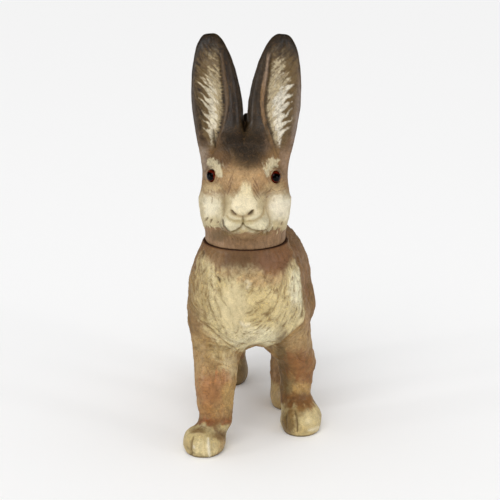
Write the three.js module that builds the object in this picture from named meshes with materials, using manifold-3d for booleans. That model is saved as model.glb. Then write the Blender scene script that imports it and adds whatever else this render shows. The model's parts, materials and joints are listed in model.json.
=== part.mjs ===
// A hare figurine of moulded papier-mache, made as a box for sweets. The trunk is two hollow
// halves joined along the back and belly, with the legs pressed solid. A card tube stands in the
// neck, and the head, moulded as a face half and a nape half, lifts off that tube.
// Millimetres, +Z up. The hare faces -Y, so its own left side is +X. While it is modelled, the
// neck axis is x = 0, y = 0 and the floor is z = 0.
import * as THREE from "three";
import { mergeVertices } from "three/addons/utils/BufferGeometryUtils.js";
import Module from "manifold-3d";

const wasm = await Module();
wasm.setup();

// Trunk
const BELLY_CLEARANCE = 78; // floor to the underside of the chest
const NECK_RISE = 84; // underside of the chest to the neck joint
const CHEST_WIDTH = 88;
const CHEST_LENGTH = 88;
const CHEST_HEIGHT = 92;
const LOIN_WIDTH = 86;
const LOIN_LENGTH = 124;
const LOIN_HEIGHT = 75;
const RUMP_WIDTH = 82;
const RUMP_LENGTH = 92;
const RUMP_HEIGHT = 80;
const RUMP_SETBACK = 100; // neck axis to the middle of the rump
const HAUNCH_WIDTH = 46;
const HAUNCH_LENGTH = 74;
const HAUNCH_HEIGHT = 88;
const TAIL_WIDTH = 18;
const TAIL_LENGTH = 30;
const TRUNK_BLEND = 14; // how widely the forms of the trunk run into each other

// Neck
const NECK_WIDTH = 61.5;
const NECK_LENGTH = 65;
const NECK_OVERRUN = 30; // how far the neck's form runs into the trunk and the head

// Legs: shoulder and hip on the trunk, then where each foot stands
const SHOULDER_WIDTH = 47.6; // between the middles of the two shoulders
const SHOULDER_ASIDE = 3.2; // both shoulders stand this far to the hare's left
const SHOULDER_RISE = 18.4; // underside of the chest to the shoulder's middle
const HIP_WIDTH = 50;
const UPPER_LEG = 46; // diameters down the leg
const KNEE = 26;
const ANKLE = 25;
const KNEE_HEIGHT = 56;
const ANKLE_HEIGHT = 24;
const PAW_WIDTH = 33;
const PAW_LENGTH = 42;
const PAW_HEIGHT = 26;
const PAW_REACH = 7; // ankle to the middle of the paw
const HOCK_BACK = 9; // how far the hind leg's hock stands behind its ankle
const FRONT_LEFT_FOOT = { x: 38.5, y: 27, splay: 4.5 };
const FRONT_RIGHT_FOOT = { x: -22, y: -21, splay: -8 };
const HIND_LEFT_FOOT = { x: 27, y: 82, splay: 4 };
const HIND_RIGHT_FOOT = { x: -24, y: 136, splay: -1 };

// Head, measured up from the neck joint
const CROWN_RISE = 79;
const SKULL_WIDTH = 62;
const SKULL_LENGTH = 68;
const SKULL_HEIGHT = 78;
const SKULL_SETBACK = 2; // the skull's middle, behind the neck axis
const CHEEK_WIDTH = 66.5; // over both cheeks
const CHEEK_SIZE = 34;
const CHEEK_RISE = 31;
const MUZZLE_REACH = 49; // neck axis to the tip of the nose
const MUZZLE_WIDTH = 35;
const MUZZLE_HEIGHT = 30;
const MUZZLE_RISE = 26;
const MUZZLE_ASIDE = 2.2; // the muzzle stands this far to the hare's left, as it was moulded
const NOSE_WIDTH = 23;
const NOSE_HEIGHT = 17;
const NOSE_RISE = 9.5; // above the middle of the muzzle
const LIP_WIDTH = 17; // each of the two pads under the nose
const LIP_HEIGHT = 13;
const LIP_DROP = 3.8; // below the middle of the muzzle
const LIP_SPACING = 15.2; // between the middles of the two pads
const CHIN_WIDTH = 20;
const CHIN_HEIGHT = 12.8;
const CHIN_DROP = 9; // below the middle of the muzzle
const CHIN_SETBACK = 5; // front of the lips to the front of the chin
const SNOUT_BLEND = 3;
const BROW_RISE = 64;
const BROW_WIDTH = 42;
const BROW_INSET = 7; // how deep the brow lies in the front of the skull
const EYE_RISE = 53;
const EYE_SPREAD = 45.5; // between the middles of the two eyes
const EYE_TURN = 42; // degrees that an eye looks aside from straight ahead
const EYE_DIAMETER = 10;
const EYE_SET = 1.1; // how far the eye's middle lies behind the lids' surface
const PUPIL_DIAMETER = 6;
const PUPIL_DEPTH = 1.6;
const HEAD_PARTING = 5.5; // the joint of face half and nape half, behind the neck axis
const HEAD_BLEND = 10;

// Ears
const EAR_TIP_RISE = 156.2;
const EAR_ABOVE = 52; // widest part of an ear to its tip
const EAR_BELOW = 68; // widest part to the root, which is buried in the skull
const EAR_WIDTH = 39;
const EAR_ROOT_THICKNESS = 20;
const EAR_TIP_THICKNESS = 9;
const EAR_EDGE = 4.2; // radius of the rounded edge
const EAR_DISH = 5; // depth of the hollowed front
const EAR_RIM = 4.5; // width of the outer rim beside the hollow
const EAR_ROLL = 11; // width of the full inner edge beside the hollow
const EAR_SPACING = 43.4; // between the ears at their widest
const EAR_SET = 3; // the ears' middle, behind the neck axis
const EAR_SPREAD_ANGLE = 6.5; // degrees outwards from upright
const EAR_BACK_ANGLE = 6;
const EAR_TURN = 20; // degrees that the hollow faces outwards

// Walls, card and clearances
const WALL = 4;
const NECK_WALL = 14; // depth of the collar that holds the tube
const TUBE_DIAMETER = 48;
const CARD = 1.4;
const TUBE_STAND = 22; // tube above the neck joint
const TUBE_SEAT = 16; // tube below the neck joint
const SLEEVE_LENGTH = 19;
const SLEEVE_INSET = 1; // sleeve above the head's rim
const TUBE_ROOM = 2; // kept free past each end of the tube
const FIT = 0.3;
const BODY_STRIP_WIDTH = 18;
const HEAD_STRIP_WIDTH = 14;
const STRIP = 0.8; // thickness of the paper glued behind a joint
const STRIP_CLEAR = 1; // between a strip's end and the room round the tube
const PUTTY = 3.5; // putty round the back of an eye

// Fineness of the moulded surfaces
const TRUNK_CELL = 8;
const TRUNK_HOLLOW_CELL = 13;
const HEAD_CELL = 5.5;
const HEAD_HOLLOW_CELL = 8;
const ROUND = 40; // sides of a card ring
const EYE_SIDES = 14;

const SEAM = BELLY_CLEARANCE + NECK_RISE;
const BELOW = 40; // a cutter reaches this far past what it cuts
const WIDE = 600;

// Forms: each is a function that gives the distance of a point from a surface, negative inside.

function ellipsoid([cx, cy, cz], [rx, ry, rz]) {
  return (x, y, z) => {
    const near = Math.hypot((x - cx) / rx, (y - cy) / ry, (z - cz) / rz);
    const slope = Math.hypot((x - cx) / rx ** 2, (y - cy) / ry ** 2, (z - cz) / rz ** 2);
    return slope === 0 ? -Math.min(rx, ry, rz) : (near * (near - 1)) / slope;
  };
}

function limb([ax, ay, az], startRadius, [bx, by, bz], endRadius) {
  const [dx, dy, dz] = [bx - ax, by - ay, bz - az];
  const square = dx * dx + dy * dy + dz * dz;
  return (x, y, z) => {
    const along = ((x - ax) * dx + (y - ay) * dy + (z - az) * dz) / square;
    const t = THREE.MathUtils.clamp(along, 0, 1);
    const away = Math.hypot(x - ax - t * dx, y - ay - t * dy, z - az - t * dz);
    return away - THREE.MathUtils.lerp(startRadius, endRadius, t);
  };
}

function column(width, length, bottom, top) {
  return (x, y, z) => {
    const side = (Math.hypot((2 * x) / width, (2 * y) / length) - 1) * (Math.min(width, length) / 2);
    return Math.max(side, bottom - z, z - top);
  };
}

// An upright leaf, z = 0 where it is widest, with a rounded edge all round. Its outline runs
// straighter towards the tip than an oval does.
function leaf(width, rise, drop, rootThickness, tipThickness, edge) {
  const a = width / 2 - edge;
  const power = 1.6;
  return (x, y, z) => {
    const c = (z > 0 ? rise : drop) - edge;
    const t = Math.abs(z) / c;
    const near = Math.hypot(x / a, t ** (power / 2));
    const slope = Math.hypot(x / a ** 2, ((power / 2) * t ** (power - 1)) / c);
    const inPlane = slope === 0 ? -a : (near * (near - 1)) / slope;
    const height = THREE.MathUtils.clamp((z + drop) / (rise + drop), 0, 1);
    const through = Math.abs(y) - THREE.MathUtils.lerp(rootThickness, tipThickness, height) / 2 + edge;
    const outside = Math.hypot(Math.max(inPlane, 0), Math.max(through, 0));
    return Math.min(Math.max(inPlane, through), 0) + outside - edge;
  };
}

function joined(blend, ...forms) {
  return (x, y, z) =>
    forms
      .map((form) => form(x, y, z))
      .reduce((a, b) => {
        const share = Math.max(blend - Math.abs(a - b), 0) / blend;
        return Math.min(a, b) - (share * share * blend) / 4;
      });
}

function dished(form, hollow, blend) {
  const filled = joined(blend, (x, y, z) => -form(x, y, z), hollow);
  return (x, y, z) => -filled(x, y, z);
}

function inset(form, depth) {
  return (x, y, z) => form(x, y, z) + depth;
}

// Skins: a form's surface as a closed mesh, with one vertex in each grid cell that it crosses.

function skin(form, [low, high], cell) {
  const first = low.map((v) => Math.floor(v / cell) - 1);
  const count = high.map((v, axis) => Math.ceil(v / cell) + 2 - first[axis]);
  const step = [1, count[0], count[0] * count[1]];
  const value = new Float64Array(count[0] * count[1] * count[2]);
  const place = (i, axis) => (first[axis] + i) * cell;
  const each = (margin, visit) => {
    for (let k = 0; k < count[2] - margin; k++)
      for (let j = 0; j < count[1] - margin; j++)
        for (let i = 0; i < count[0] - margin; i++) visit([i, j, k], i + j * step[1] + k * step[2]);
  };
  each(0, ([i, j, k], at) => {
    value[at] = form(place(i, 0), place(j, 1), place(k, 2)) || 1e-9;
  });

  // A grid face whose corners lie in and out by turns would pinch the surface, so its nearest
  // corner changes sides.
  for (let pinched = true; pinched; ) {
    pinched = false;
    each(1, (index, at) => {
      for (let axis = 0; axis < 3; axis++) {
        const [u, v] = [step[(axis + 1) % 3], step[(axis + 2) % 3]];
        const corners = [at, at + u, at + u + v, at + v];
        const [a, b, c, d] = corners.map((corner) => value[corner] < 0);
        if (a !== c || b !== d || a === b) continue;
        corners.sort((p, q) => Math.abs(value[p]) - Math.abs(value[q]));
        value[corners[0]] *= -1;
        pinched = true;
      }
    });
  }

  const vertexOf = new Map();
  const points = [];
  each(1, (index, at) => {
    const sum = [0, 0, 0];
    let crossings = 0;
    for (let axis = 0; axis < 3; axis++)
      for (let corner = 0; corner < 4; corner++) {
        const across = [(axis + 1) % 3, (axis + 2) % 3];
        const offset = [0, 0, 0];
        offset[across[0]] = corner & 1;
        offset[across[1]] = corner >> 1;
        const a = at + offset[0] * step[0] + offset[1] * step[1] + offset[2] * step[2];
        const b = a + step[axis];
        if (value[a] < 0 === value[b] < 0) continue;
        offset[axis] = value[a] / (value[a] - value[b]);
        crossings++;
        for (let n = 0; n < 3; n++) sum[n] += place(index[n] + offset[n], n);
      }
    if (!crossings) return;
    vertexOf.set(at, points.length);
    points.push(settled(form, sum.map((s) => s / crossings), cell));
  });

  const quads = [];
  each(1, (index, at) => {
    for (let axis = 0; axis < 3; axis++) {
      const across = [(axis + 1) % 3, (axis + 2) % 3];
      if (!index[across[0]] || !index[across[1]]) continue;
      const outward = value[at] < 0;
      if (outward === value[at + step[axis]] < 0) continue;
      const [u, v] = [step[across[0]], step[across[1]]];
      const ring = [at - u - v, at - v, at, at - u].map((cellAt) => vertexOf.get(cellAt));
      quads.push(outward ? ring : ring.reverse());
    }
  });

  // Each quad is split along its shorter diagonal, unless another quad already has that edge.
  const key = (p, q) => Math.min(p, q) * points.length + Math.max(p, q);
  const gap = (p, q) => Math.hypot(...points[p].map((at, n) => at - points[q][n]));
  const edges = new Set(quads.flatMap(([a, b, c, d]) => [key(a, b), key(b, c), key(c, d), key(d, a)]));
  const triangles = quads.flatMap(([a, b, c, d]) => {
    const shorter = gap(a, c) < gap(b, d);
    const split = edges.has(shorter ? key(a, c) : key(b, d)) ? !shorter : shorter;
    edges.add(split ? key(a, c) : key(b, d));
    return split ? [a, b, c, a, c, d] : [a, b, d, b, c, d];
  });
  return new THREE.BufferGeometry()
    .setAttribute("position", new THREE.Float32BufferAttribute(points.flat(), 3))
    .setIndex(triangles);
}

// Moves a point onto the form's surface, by at most a third of a cell.
function settled(form, start, cell) {
  const small = cell / 100;
  const reach = cell / 3;
  let point = start;
  for (let turn = 0; turn < 3; turn++) {
    const [x, y, z] = point;
    const here = form(x, y, z);
    const slope = [
      (form(x + small, y, z) - here) / small,
      (form(x, y + small, z) - here) / small,
      (form(x, y, z + small) - here) / small,
    ];
    const square = slope.reduce((sum, s) => sum + s * s, 0) || 1;
    point = point.map((p, n) =>
      THREE.MathUtils.clamp(p - (here * slope[n]) / square, start[n] - reach, start[n] + reach),
    );
  }
  return point;
}

// A closed mesh moved inwards along its vertex normals.
function shrunk(geometry, depth) {
  const moved = geometry.clone();
  moved.computeVertexNormals();
  const { position, normal } = moved.attributes;
  for (let i = 0; i < position.count; i++)
    position.setXYZ(
      i,
      position.getX(i) - depth * normal.getX(i),
      position.getY(i) - depth * normal.getY(i),
      position.getZ(i) - depth * normal.getZ(i),
    );
  moved.deleteAttribute("normal");
  return moved;
}

// Solids for cutting and joining

function solid(geometry) {
  const bare = geometry.clone();
  bare.deleteAttribute("normal");
  bare.deleteAttribute("uv");
  const merged = mergeVertices(bare, 1e-4);
  return new wasm.Manifold(
    new wasm.Mesh({
      numProp: 3,
      vertProperties: merged.attributes.position.array,
      triVerts: new Uint32Array(merged.index.array),
    }),
  );
}

function geometryOf(shape) {
  const { numProp, numVert, vertProperties, triVerts } = shape.getMesh();
  const position = new Float32Array(numVert * 3);
  for (let i = 0; i < numVert; i++)
    position.set(vertProperties.subarray(i * numProp, i * numProp + 3), i * 3);
  return new THREE.BufferGeometry()
    .setAttribute("position", new THREE.BufferAttribute(position, 3))
    .setIndex(new THREE.BufferAttribute(triVerts, 1));
}

function block([x0, y0, z0], [x1, y1, z1]) {
  const box = new THREE.BoxGeometry(x1 - x0, y1 - y0, z1 - z0);
  return solid(box.translate((x0 + x1) / 2, (y0 + y1) / 2, (z0 + z1) / 2));
}

// A ring or a plain cylinder round the neck axis, from its profile.
function turned(inner, outer, bottom, top, sides = ROUND) {
  const profile = [
    [inner, bottom],
    [outer, bottom],
    [outer, top],
    [inner, top],
  ];
  if (inner > 0) profile.push(profile[0]);
  const lathe = new THREE.LatheGeometry(
    profile.map(([radius, height]) => new THREE.Vector2(radius, height)),
    sides,
  );
  return lathe.rotateX(Math.PI / 2);
}

function ball(centre, radius) {
  return solid(new THREE.SphereGeometry(radius, EYE_SIDES, EYE_SIDES / 2).translate(...centre));
}

// Trunk, neck and legs

const chestMiddle = [0, 0, BELLY_CLEARANCE + CHEST_HEIGHT / 2];
const loinMiddle = [0, RUMP_SETBACK / 2, BELLY_CLEARANCE + LOIN_HEIGHT / 2];
const rumpMiddle = [0, RUMP_SETBACK, BELLY_CLEARANCE + RUMP_HEIGHT / 2];

function barrel() {
  return joined(
    TRUNK_BLEND,
    ellipsoid(chestMiddle, [CHEST_WIDTH / 2, CHEST_LENGTH / 2, CHEST_HEIGHT / 2]),
    ellipsoid(loinMiddle, [LOIN_WIDTH / 2, LOIN_LENGTH / 2, LOIN_HEIGHT / 2]),
    ellipsoid(rumpMiddle, [RUMP_WIDTH / 2, RUMP_LENGTH / 2, RUMP_HEIGHT / 2]),
  );
}

function neck() {
  return column(NECK_WIDTH, NECK_LENGTH, SEAM - NECK_OVERRUN, SEAM + NECK_OVERRUN);
}

function haunch(side) {
  const middle = [(side * HIP_WIDTH) / 2, RUMP_SETBACK, BELLY_CLEARANCE + HAUNCH_HEIGHT / 8];
  return ellipsoid(middle, [HAUNCH_WIDTH / 2, HAUNCH_LENGTH / 2, HAUNCH_HEIGHT / 2]);
}

function paw({ x, y, splay }) {
  const middle = [x + splay, y - PAW_REACH, PAW_HEIGHT / 3];
  return ellipsoid(middle, [PAW_WIDTH / 2, PAW_LENGTH / 2, (2 * PAW_HEIGHT) / 3]);
}

function frontLeg(foot) {
  const side = Math.sign(foot.x);
  const aside = (side * SHOULDER_WIDTH) / 2 + SHOULDER_ASIDE;
  const shoulder = [aside, foot.y / 4, BELLY_CLEARANCE + SHOULDER_RISE];
  const knee = [foot.x, foot.y, KNEE_HEIGHT];
  const ankle = [foot.x, foot.y, ANKLE_HEIGHT];
  return joined(
    PAW_REACH,
    limb(shoulder, UPPER_LEG / 2, knee, KNEE / 2),
    limb(knee, KNEE / 2, ankle, ANKLE / 2),
    paw(foot),
  );
}

function hindLeg(foot) {
  const side = Math.sign(foot.x);
  const thigh = [(side * HIP_WIDTH) / 2, (RUMP_SETBACK + foot.y) / 2, BELLY_CLEARANCE];
  const hock = [foot.x, foot.y + HOCK_BACK, KNEE_HEIGHT];
  const ankle = [foot.x, foot.y, ANKLE_HEIGHT];
  return joined(
    PAW_REACH,
    limb(thigh, UPPER_LEG / 2, hock, ANKLE / 2),
    limb(hock, ANKLE / 2, ankle, ANKLE / 2),
    paw(foot),
  );
}

function tail() {
  const root = [0, RUMP_SETBACK + RUMP_LENGTH / 2 - TAIL_WIDTH / 2, BELLY_CLEARANCE + RUMP_HEIGHT / 2];
  const tip = [0, RUMP_SETBACK + RUMP_LENGTH / 2 + TAIL_WIDTH / 4, root[2] + TAIL_LENGTH - TAIL_WIDTH];
  return limb(root, TAIL_WIDTH / 2, tip, TAIL_WIDTH / 2);
}

function bodyForm() {
  return joined(
    TRUNK_BLEND,
    barrel(),
    neck(),
    haunch(1),
    haunch(-1),
    frontLeg(FRONT_LEFT_FOOT),
    frontLeg(FRONT_RIGHT_FOOT),
    hindLeg(HIND_LEFT_FOOT),
    hindLeg(HIND_RIGHT_FOOT),
    tail(),
  );
}

const feet = [FRONT_LEFT_FOOT, FRONT_RIGHT_FOOT, HIND_LEFT_FOOT, HIND_RIGHT_FOOT];
const bodyBox = [
  [-CHEST_WIDTH, -CHEST_LENGTH, -ANKLE],
  [CHEST_WIDTH, RUMP_SETBACK + RUMP_LENGTH, SEAM + NECK_OVERRUN],
];
const trunkHollow = skin(inset(barrel(), WALL), bodyBox, TRUNK_HOLLOW_CELL);
const tubeRadius = TUBE_DIAMETER / 2;
const collarBore = solid(turned(0, tubeRadius + FIT, SEAM - NECK_WALL - BELOW, SEAM + BELOW));
const collarBottom = SEAM - NECK_WALL;
const collarBack = NECK_LENGTH / 2 + WALL;

function body() {
  const upTo = block([-WIDE, -WIDE, 0], [WIDE, WIDE, SEAM]);
  const collar = block([-WIDE, -WIDE, collarBottom], [WIDE, collarBack, WIDE]);
  const mouldings = solid(skin(bodyForm(), bodyBox, TRUNK_CELL)).intersect(upTo);
  return mouldings.subtract(solid(trunkHollow).subtract(collar)).subtract(collarBore);
}

// Head and ears

const skullMiddle = [0, SKULL_SETBACK, SEAM + CROWN_RISE - SKULL_HEIGHT / 2];

function cheek(side) {
  const middle = [(side * (CHEEK_WIDTH - CHEEK_SIZE)) / 2, -CHEEK_SIZE / 4, SEAM + CHEEK_RISE];
  return ellipsoid(middle, [CHEEK_SIZE / 2, CHEEK_SIZE / 2, CHEEK_SIZE / 2]);
}

function skull() {
  const muzzleMiddle = [MUZZLE_ASIDE, MUZZLE_WIDTH / 2 - MUZZLE_REACH, SEAM + MUZZLE_RISE];
  const brow = [0, (BROW_WIDTH - SKULL_LENGTH) / 2 + BROW_INSET, SEAM + BROW_RISE];
  const bridgeEnd = [
    MUZZLE_ASIDE,
    MUZZLE_HEIGHT / 3 - MUZZLE_REACH,
    SEAM + MUZZLE_RISE + MUZZLE_HEIGHT / 4,
  ];
  return joined(
    HEAD_BLEND,
    ellipsoid(skullMiddle, [SKULL_WIDTH / 2, SKULL_LENGTH / 2, SKULL_HEIGHT / 2]),
    cheek(1),
    cheek(-1),
    ellipsoid(muzzleMiddle, [MUZZLE_WIDTH / 2, MUZZLE_WIDTH / 2, MUZZLE_HEIGHT / 2]),
    limb(brow, BROW_WIDTH / 2, bridgeEnd, MUZZLE_HEIGHT / 3),
  );
}

// The nose, the two lip pads under it and the chin
function snout() {
  const round = (aside, width, height, rise, setback) =>
    ellipsoid(
      [MUZZLE_ASIDE + aside, width / 2 + setback - MUZZLE_REACH, SEAM + MUZZLE_RISE + rise],
      [width / 2, width / 2, height / 2],
    );
  return joined(
    SNOUT_BLEND,
    round(0, NOSE_WIDTH, NOSE_HEIGHT, NOSE_RISE, 0),
    round(LIP_SPACING / 2, LIP_WIDTH, LIP_HEIGHT, -LIP_DROP, 0),
    round(-LIP_SPACING / 2, LIP_WIDTH, LIP_HEIGHT, -LIP_DROP, 0),
    round(0, CHIN_WIDTH, CHIN_HEIGHT, -CHIN_DROP, CHIN_SETBACK),
  );
}

// An ear is a leaf with a hollowed front, worked out in its own directions.
function ear(side) {
  const turn = new THREE.Quaternion()
    .setFromEuler(
      new THREE.Euler(
        THREE.MathUtils.degToRad(-EAR_BACK_ANGLE),
        THREE.MathUtils.degToRad(side * EAR_SPREAD_ANGLE),
        0,
      ),
    )
    .multiply(
      new THREE.Quaternion().setFromEuler(new THREE.Euler(0, 0, THREE.MathUtils.degToRad(side * EAR_TURN))),
    );
  const unturn = turn.clone().invert();
  const tip = new THREE.Vector3(0, 0, EAR_ABOVE).applyQuaternion(turn);
  const middle = new THREE.Vector3((side * EAR_SPACING) / 2, EAR_SET, SEAM + EAR_TIP_RISE - tip.z);
  const half = EAR_WIDTH / 2;
  const dishHalf = half - (EAR_RIM + EAR_ROLL) / 2;
  const dishDepth = 2 * EAR_DISH;
  const front = THREE.MathUtils.lerp(EAR_TIP_THICKNESS, EAR_ROOT_THICKNESS, 0.5) / 2;
  const form = dished(
    leaf(EAR_WIDTH, EAR_ABOVE, EAR_BELOW, EAR_ROOT_THICKNESS, EAR_TIP_THICKNESS, EAR_EDGE),
    ellipsoid(
      [side * (half - EAR_RIM - dishHalf), EAR_DISH - dishDepth - front, 0],
      [dishHalf, dishDepth, EAR_ABOVE - EAR_ROLL],
    ),
    EAR_DISH,
  );
  const local = new THREE.Vector3();
  return (x, y, z) => {
    local.set(x, y, z).sub(middle).applyQuaternion(unturn);
    return form(local.x, local.y, local.z);
  };
}

function headForm() {
  const face = joined(SNOUT_BLEND, joined(HEAD_BLEND, skull(), neck()), snout());
  return joined(HEAD_BLEND, face, joined(EAR_EDGE / 2, ear(1), ear(-1)));
}

const headBox = [
  [-CHEEK_WIDTH, -MUZZLE_REACH - LIP_WIDTH, SEAM - NECK_OVERRUN],
  [CHEEK_WIDTH, SKULL_LENGTH, SEAM + EAR_TIP_RISE + EAR_EDGE],
];
const skullHollow = skin(inset(skull(), WALL), headBox, HEAD_HOLLOW_CELL);
const sleeveInside = tubeRadius + FIT;
const sleeveOutside = sleeveInside + CARD;
const headRim = SEAM + FIT;
const headBore = solid(turned(0, sleeveOutside + FIT, SEAM - BELOW, SEAM + TUBE_STAND + TUBE_ROOM));

// Goes in from the front of the face until the bead's middle is set deep enough.
function eyeMiddle(side) {
  const form = skull();
  const [x, z] = [(side * EYE_SPREAD) / 2, SEAM + EYE_RISE];
  let [outside, inside] = [-MUZZLE_REACH, 0];
  for (let turn = 0; turn < 30; turn++) {
    const y = (outside + inside) / 2;
    if (form(x, y, z) > -EYE_SET) outside = y;
    else inside = y;
  }
  return [x, inside, z];
}

function head() {
  const above = block([-WIDE, -WIDE, headRim], [WIDE, WIDE, WIDE]);
  const sockets = [1, -1].map((side) => ball(eyeMiddle(side), EYE_DIAMETER / 2 + FIT));
  const mouldings = solid(skin(headForm(), headBox, HEAD_CELL)).intersect(above);
  const hollowed = mouldings.subtract(solid(skullHollow)).subtract(headBore);
  return sockets.reduce((shape, socket) => shape.subtract(socket), hollowed);
}

// Eyes: a glass bead with a black pupil let into it, held from inside by a collar of putty

function eyeParts(side) {
  const middle = eyeMiddle(side);
  const turn = THREE.MathUtils.degToRad(EYE_TURN);
  const gaze = new THREE.Vector3(side * Math.sin(turn), -Math.cos(turn), 0);
  const aim = new THREE.Quaternion().setFromUnitVectors(new THREE.Vector3(0, 1, 0), gaze);
  const radius = EYE_DIAMETER / 2;
  const placed = (geometry, along) =>
    geometry
      .translate(0, along, 0)
      .applyQuaternion(aim)
      .translate(...middle);
  const disc = (width, depth, along) =>
    solid(placed(new THREE.CylinderGeometry(width / 2, width / 2, depth, EYE_SIDES), along));
  const recess = disc(PUPIL_DIAMETER + 2 * FIT, 2 * PUPIL_DEPTH, radius);
  const glass = ball(middle, radius).subtract(recess);
  const pupilMiddle = radius - (PUPIL_DEPTH - FIT) / 2;
  const pupil = disc(PUPIL_DIAMETER, PUPIL_DEPTH - FIT, pupilMiddle).intersect(ball(middle, radius));
  const putty = ball(middle, radius + PUTTY)
    .intersect(solid(shrunk(skullHollow, FIT)))
    .subtract(ball(middle, radius + FIT));
  return { glass, pupil, putty };
}

// Paper strips glued inside, behind the joints of the mouldings

function paperStrip(hollow, zone, clear) {
  const outer = solid(shrunk(hollow, FIT));
  const inner = solid(shrunk(hollow, FIT + STRIP));
  return outer.subtract(inner).intersect(zone).subtract(clear);
}

function bodyStrip() {
  const half = BODY_STRIP_WIDTH / 2;
  const zone = block([-half, -WIDE, 0], [half, WIDE, SEAM]);
  const collar = block([-WIDE, -WIDE, collarBottom - FIT], [WIDE, collarBack + FIT, WIDE]);
  const tube = solid(turned(0, tubeRadius + TUBE_ROOM, SEAM - TUBE_SEAT - TUBE_ROOM, SEAM));
  return paperStrip(trunkHollow, zone, collar.add(tube));
}

function headStrip() {
  const half = HEAD_STRIP_WIDTH / 2;
  const zone = block([-WIDE, HEAD_PARTING - half, SEAM], [WIDE, HEAD_PARTING + half, WIDE]);
  const tubeRoom = SEAM + TUBE_STAND + TUBE_ROOM + STRIP_CLEAR;
  const tube = solid(turned(0, sleeveOutside + FIT, SEAM - BELOW, tubeRoom));
  const putty = (side) => ball(eyeMiddle(side), EYE_DIAMETER / 2 + PUTTY + FIT);
  return paperStrip(skullHollow, zone, tube.add(putty(1)).add(putty(-1)));
}

// Assembly

const materials = {
  moulding: new THREE.MeshStandardMaterial({ color: 0x9b7f5e, roughness: 0.7, metalness: 0 }),
  card: new THREE.MeshStandardMaterial({ color: 0xb9a98c, roughness: 0.9, metalness: 0 }),
  paper: new THREE.MeshStandardMaterial({ color: 0xd8cfb8, roughness: 0.95, metalness: 0 }),
  glass: new THREE.MeshStandardMaterial({ color: 0x8a3312, roughness: 0.08, metalness: 0 }),
  pupil: new THREE.MeshStandardMaterial({ color: 0x0b0808, roughness: 0.08, metalness: 0 }),
  putty: new THREE.MeshStandardMaterial({ color: 0xd9d2c2, roughness: 0.9, metalness: 0 }),
};

const hare = new THREE.Group();

function add(name, geometry, material) {
  const mesh = new THREE.Mesh(geometry, material);
  mesh.name = name;
  hare.add(mesh);
}

const bodyShape = body();
const leftSide = block([0, -WIDE, -WIDE], [WIDE, WIDE, WIDE]);
const rightSide = block([-WIDE, -WIDE, -WIDE], [0, WIDE, WIDE]);
add("body_half_left", geometryOf(bodyShape.intersect(leftSide)), materials.moulding);
add("body_half_right", geometryOf(bodyShape.intersect(rightSide)), materials.moulding);
add("body_joint_paper", geometryOf(bodyStrip()), materials.paper);
const tube = turned(tubeRadius - CARD, tubeRadius, SEAM - TUBE_SEAT, SEAM + TUBE_STAND);
add("neck_tube", tube, materials.card);

const headShape = head();
const faceSide = block([-WIDE, -WIDE, -WIDE], [WIDE, HEAD_PARTING, WIDE]);
const napeSide = block([-WIDE, HEAD_PARTING, -WIDE], [WIDE, WIDE, WIDE]);
add("head_face_half", geometryOf(headShape.intersect(faceSide)), materials.moulding);
add("head_nape_half", geometryOf(headShape.intersect(napeSide)), materials.moulding);
add("head_joint_paper", geometryOf(headStrip()), materials.paper);
const sleeveBottom = headRim + SLEEVE_INSET;
const sleeve = turned(sleeveInside, sleeveOutside, sleeveBottom, sleeveBottom + SLEEVE_LENGTH);
add("head_sleeve", sleeve, materials.card);

for (const [name, side] of [
  ["left", 1],
  ["right", -1],
]) {
  const { glass, pupil, putty } = eyeParts(side);
  add("eye_glass_" + name, geometryOf(glass), materials.glass);
  add("eye_pupil_" + name, geometryOf(pupil), materials.pupil);
  add("eye_putty_" + name, geometryOf(putty), materials.putty);
}

// The origin is under the middle of the whole hare, on the floor.
hare.updateMatrixWorld(true);
const extent = new THREE.Box3().setFromObject(hare, true);
const middle = extent.getCenter(new THREE.Vector3());
hare.position.set(-middle.x, -middle.y, -extent.min.z);

export default hare;
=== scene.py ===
"""Surfaces, paint and eyes of a hare figurine in moulded papier-mache, built round its frame.

Working lengths are millimetres from the neck axis, with the floor at z = 0 and the hare facing -Y.
Its own left side is +X. Finished meshes are put into the frame's metres by the Bench.
"""

import json
import logging
from dataclasses import dataclass, field
from enum import Enum
from typing import Callable

import bpy
import numpy as np
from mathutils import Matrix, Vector


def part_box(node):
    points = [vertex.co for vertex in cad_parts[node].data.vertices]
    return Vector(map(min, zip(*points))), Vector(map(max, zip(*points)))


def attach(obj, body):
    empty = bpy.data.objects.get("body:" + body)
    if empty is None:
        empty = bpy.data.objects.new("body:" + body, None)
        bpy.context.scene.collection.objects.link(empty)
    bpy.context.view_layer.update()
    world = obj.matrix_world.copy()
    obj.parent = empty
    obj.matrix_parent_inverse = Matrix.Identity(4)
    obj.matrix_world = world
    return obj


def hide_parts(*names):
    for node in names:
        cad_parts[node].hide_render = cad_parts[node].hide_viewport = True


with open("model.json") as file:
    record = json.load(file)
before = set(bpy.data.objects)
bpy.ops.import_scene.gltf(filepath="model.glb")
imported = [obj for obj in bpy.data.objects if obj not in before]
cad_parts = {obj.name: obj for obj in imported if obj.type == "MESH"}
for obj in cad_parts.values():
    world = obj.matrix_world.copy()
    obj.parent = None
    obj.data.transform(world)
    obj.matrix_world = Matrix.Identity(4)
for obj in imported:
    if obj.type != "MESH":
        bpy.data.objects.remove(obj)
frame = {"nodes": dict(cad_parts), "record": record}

Array = np.ndarray
Form = Callable[[Array, Array, Array], Array]
Point = tuple[float, float, float]
Pixel = tuple[float, float]
Path = tuple[Pixel, ...]
Socket = bpy.types.NodeSocket
Node = bpy.types.Node
Material = bpy.types.Material
Piece = bpy.types.Object

log = logging.getLogger("hare")
MM = 0.001
SHARP, GLASS_SHARP = 58, 50  # degrees from which an edge is shown sharp
IMAGE = 500  # the photograph is square
BARE_GESSO = "b8a684"
JOINT_GLUE = "32190c"


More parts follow.
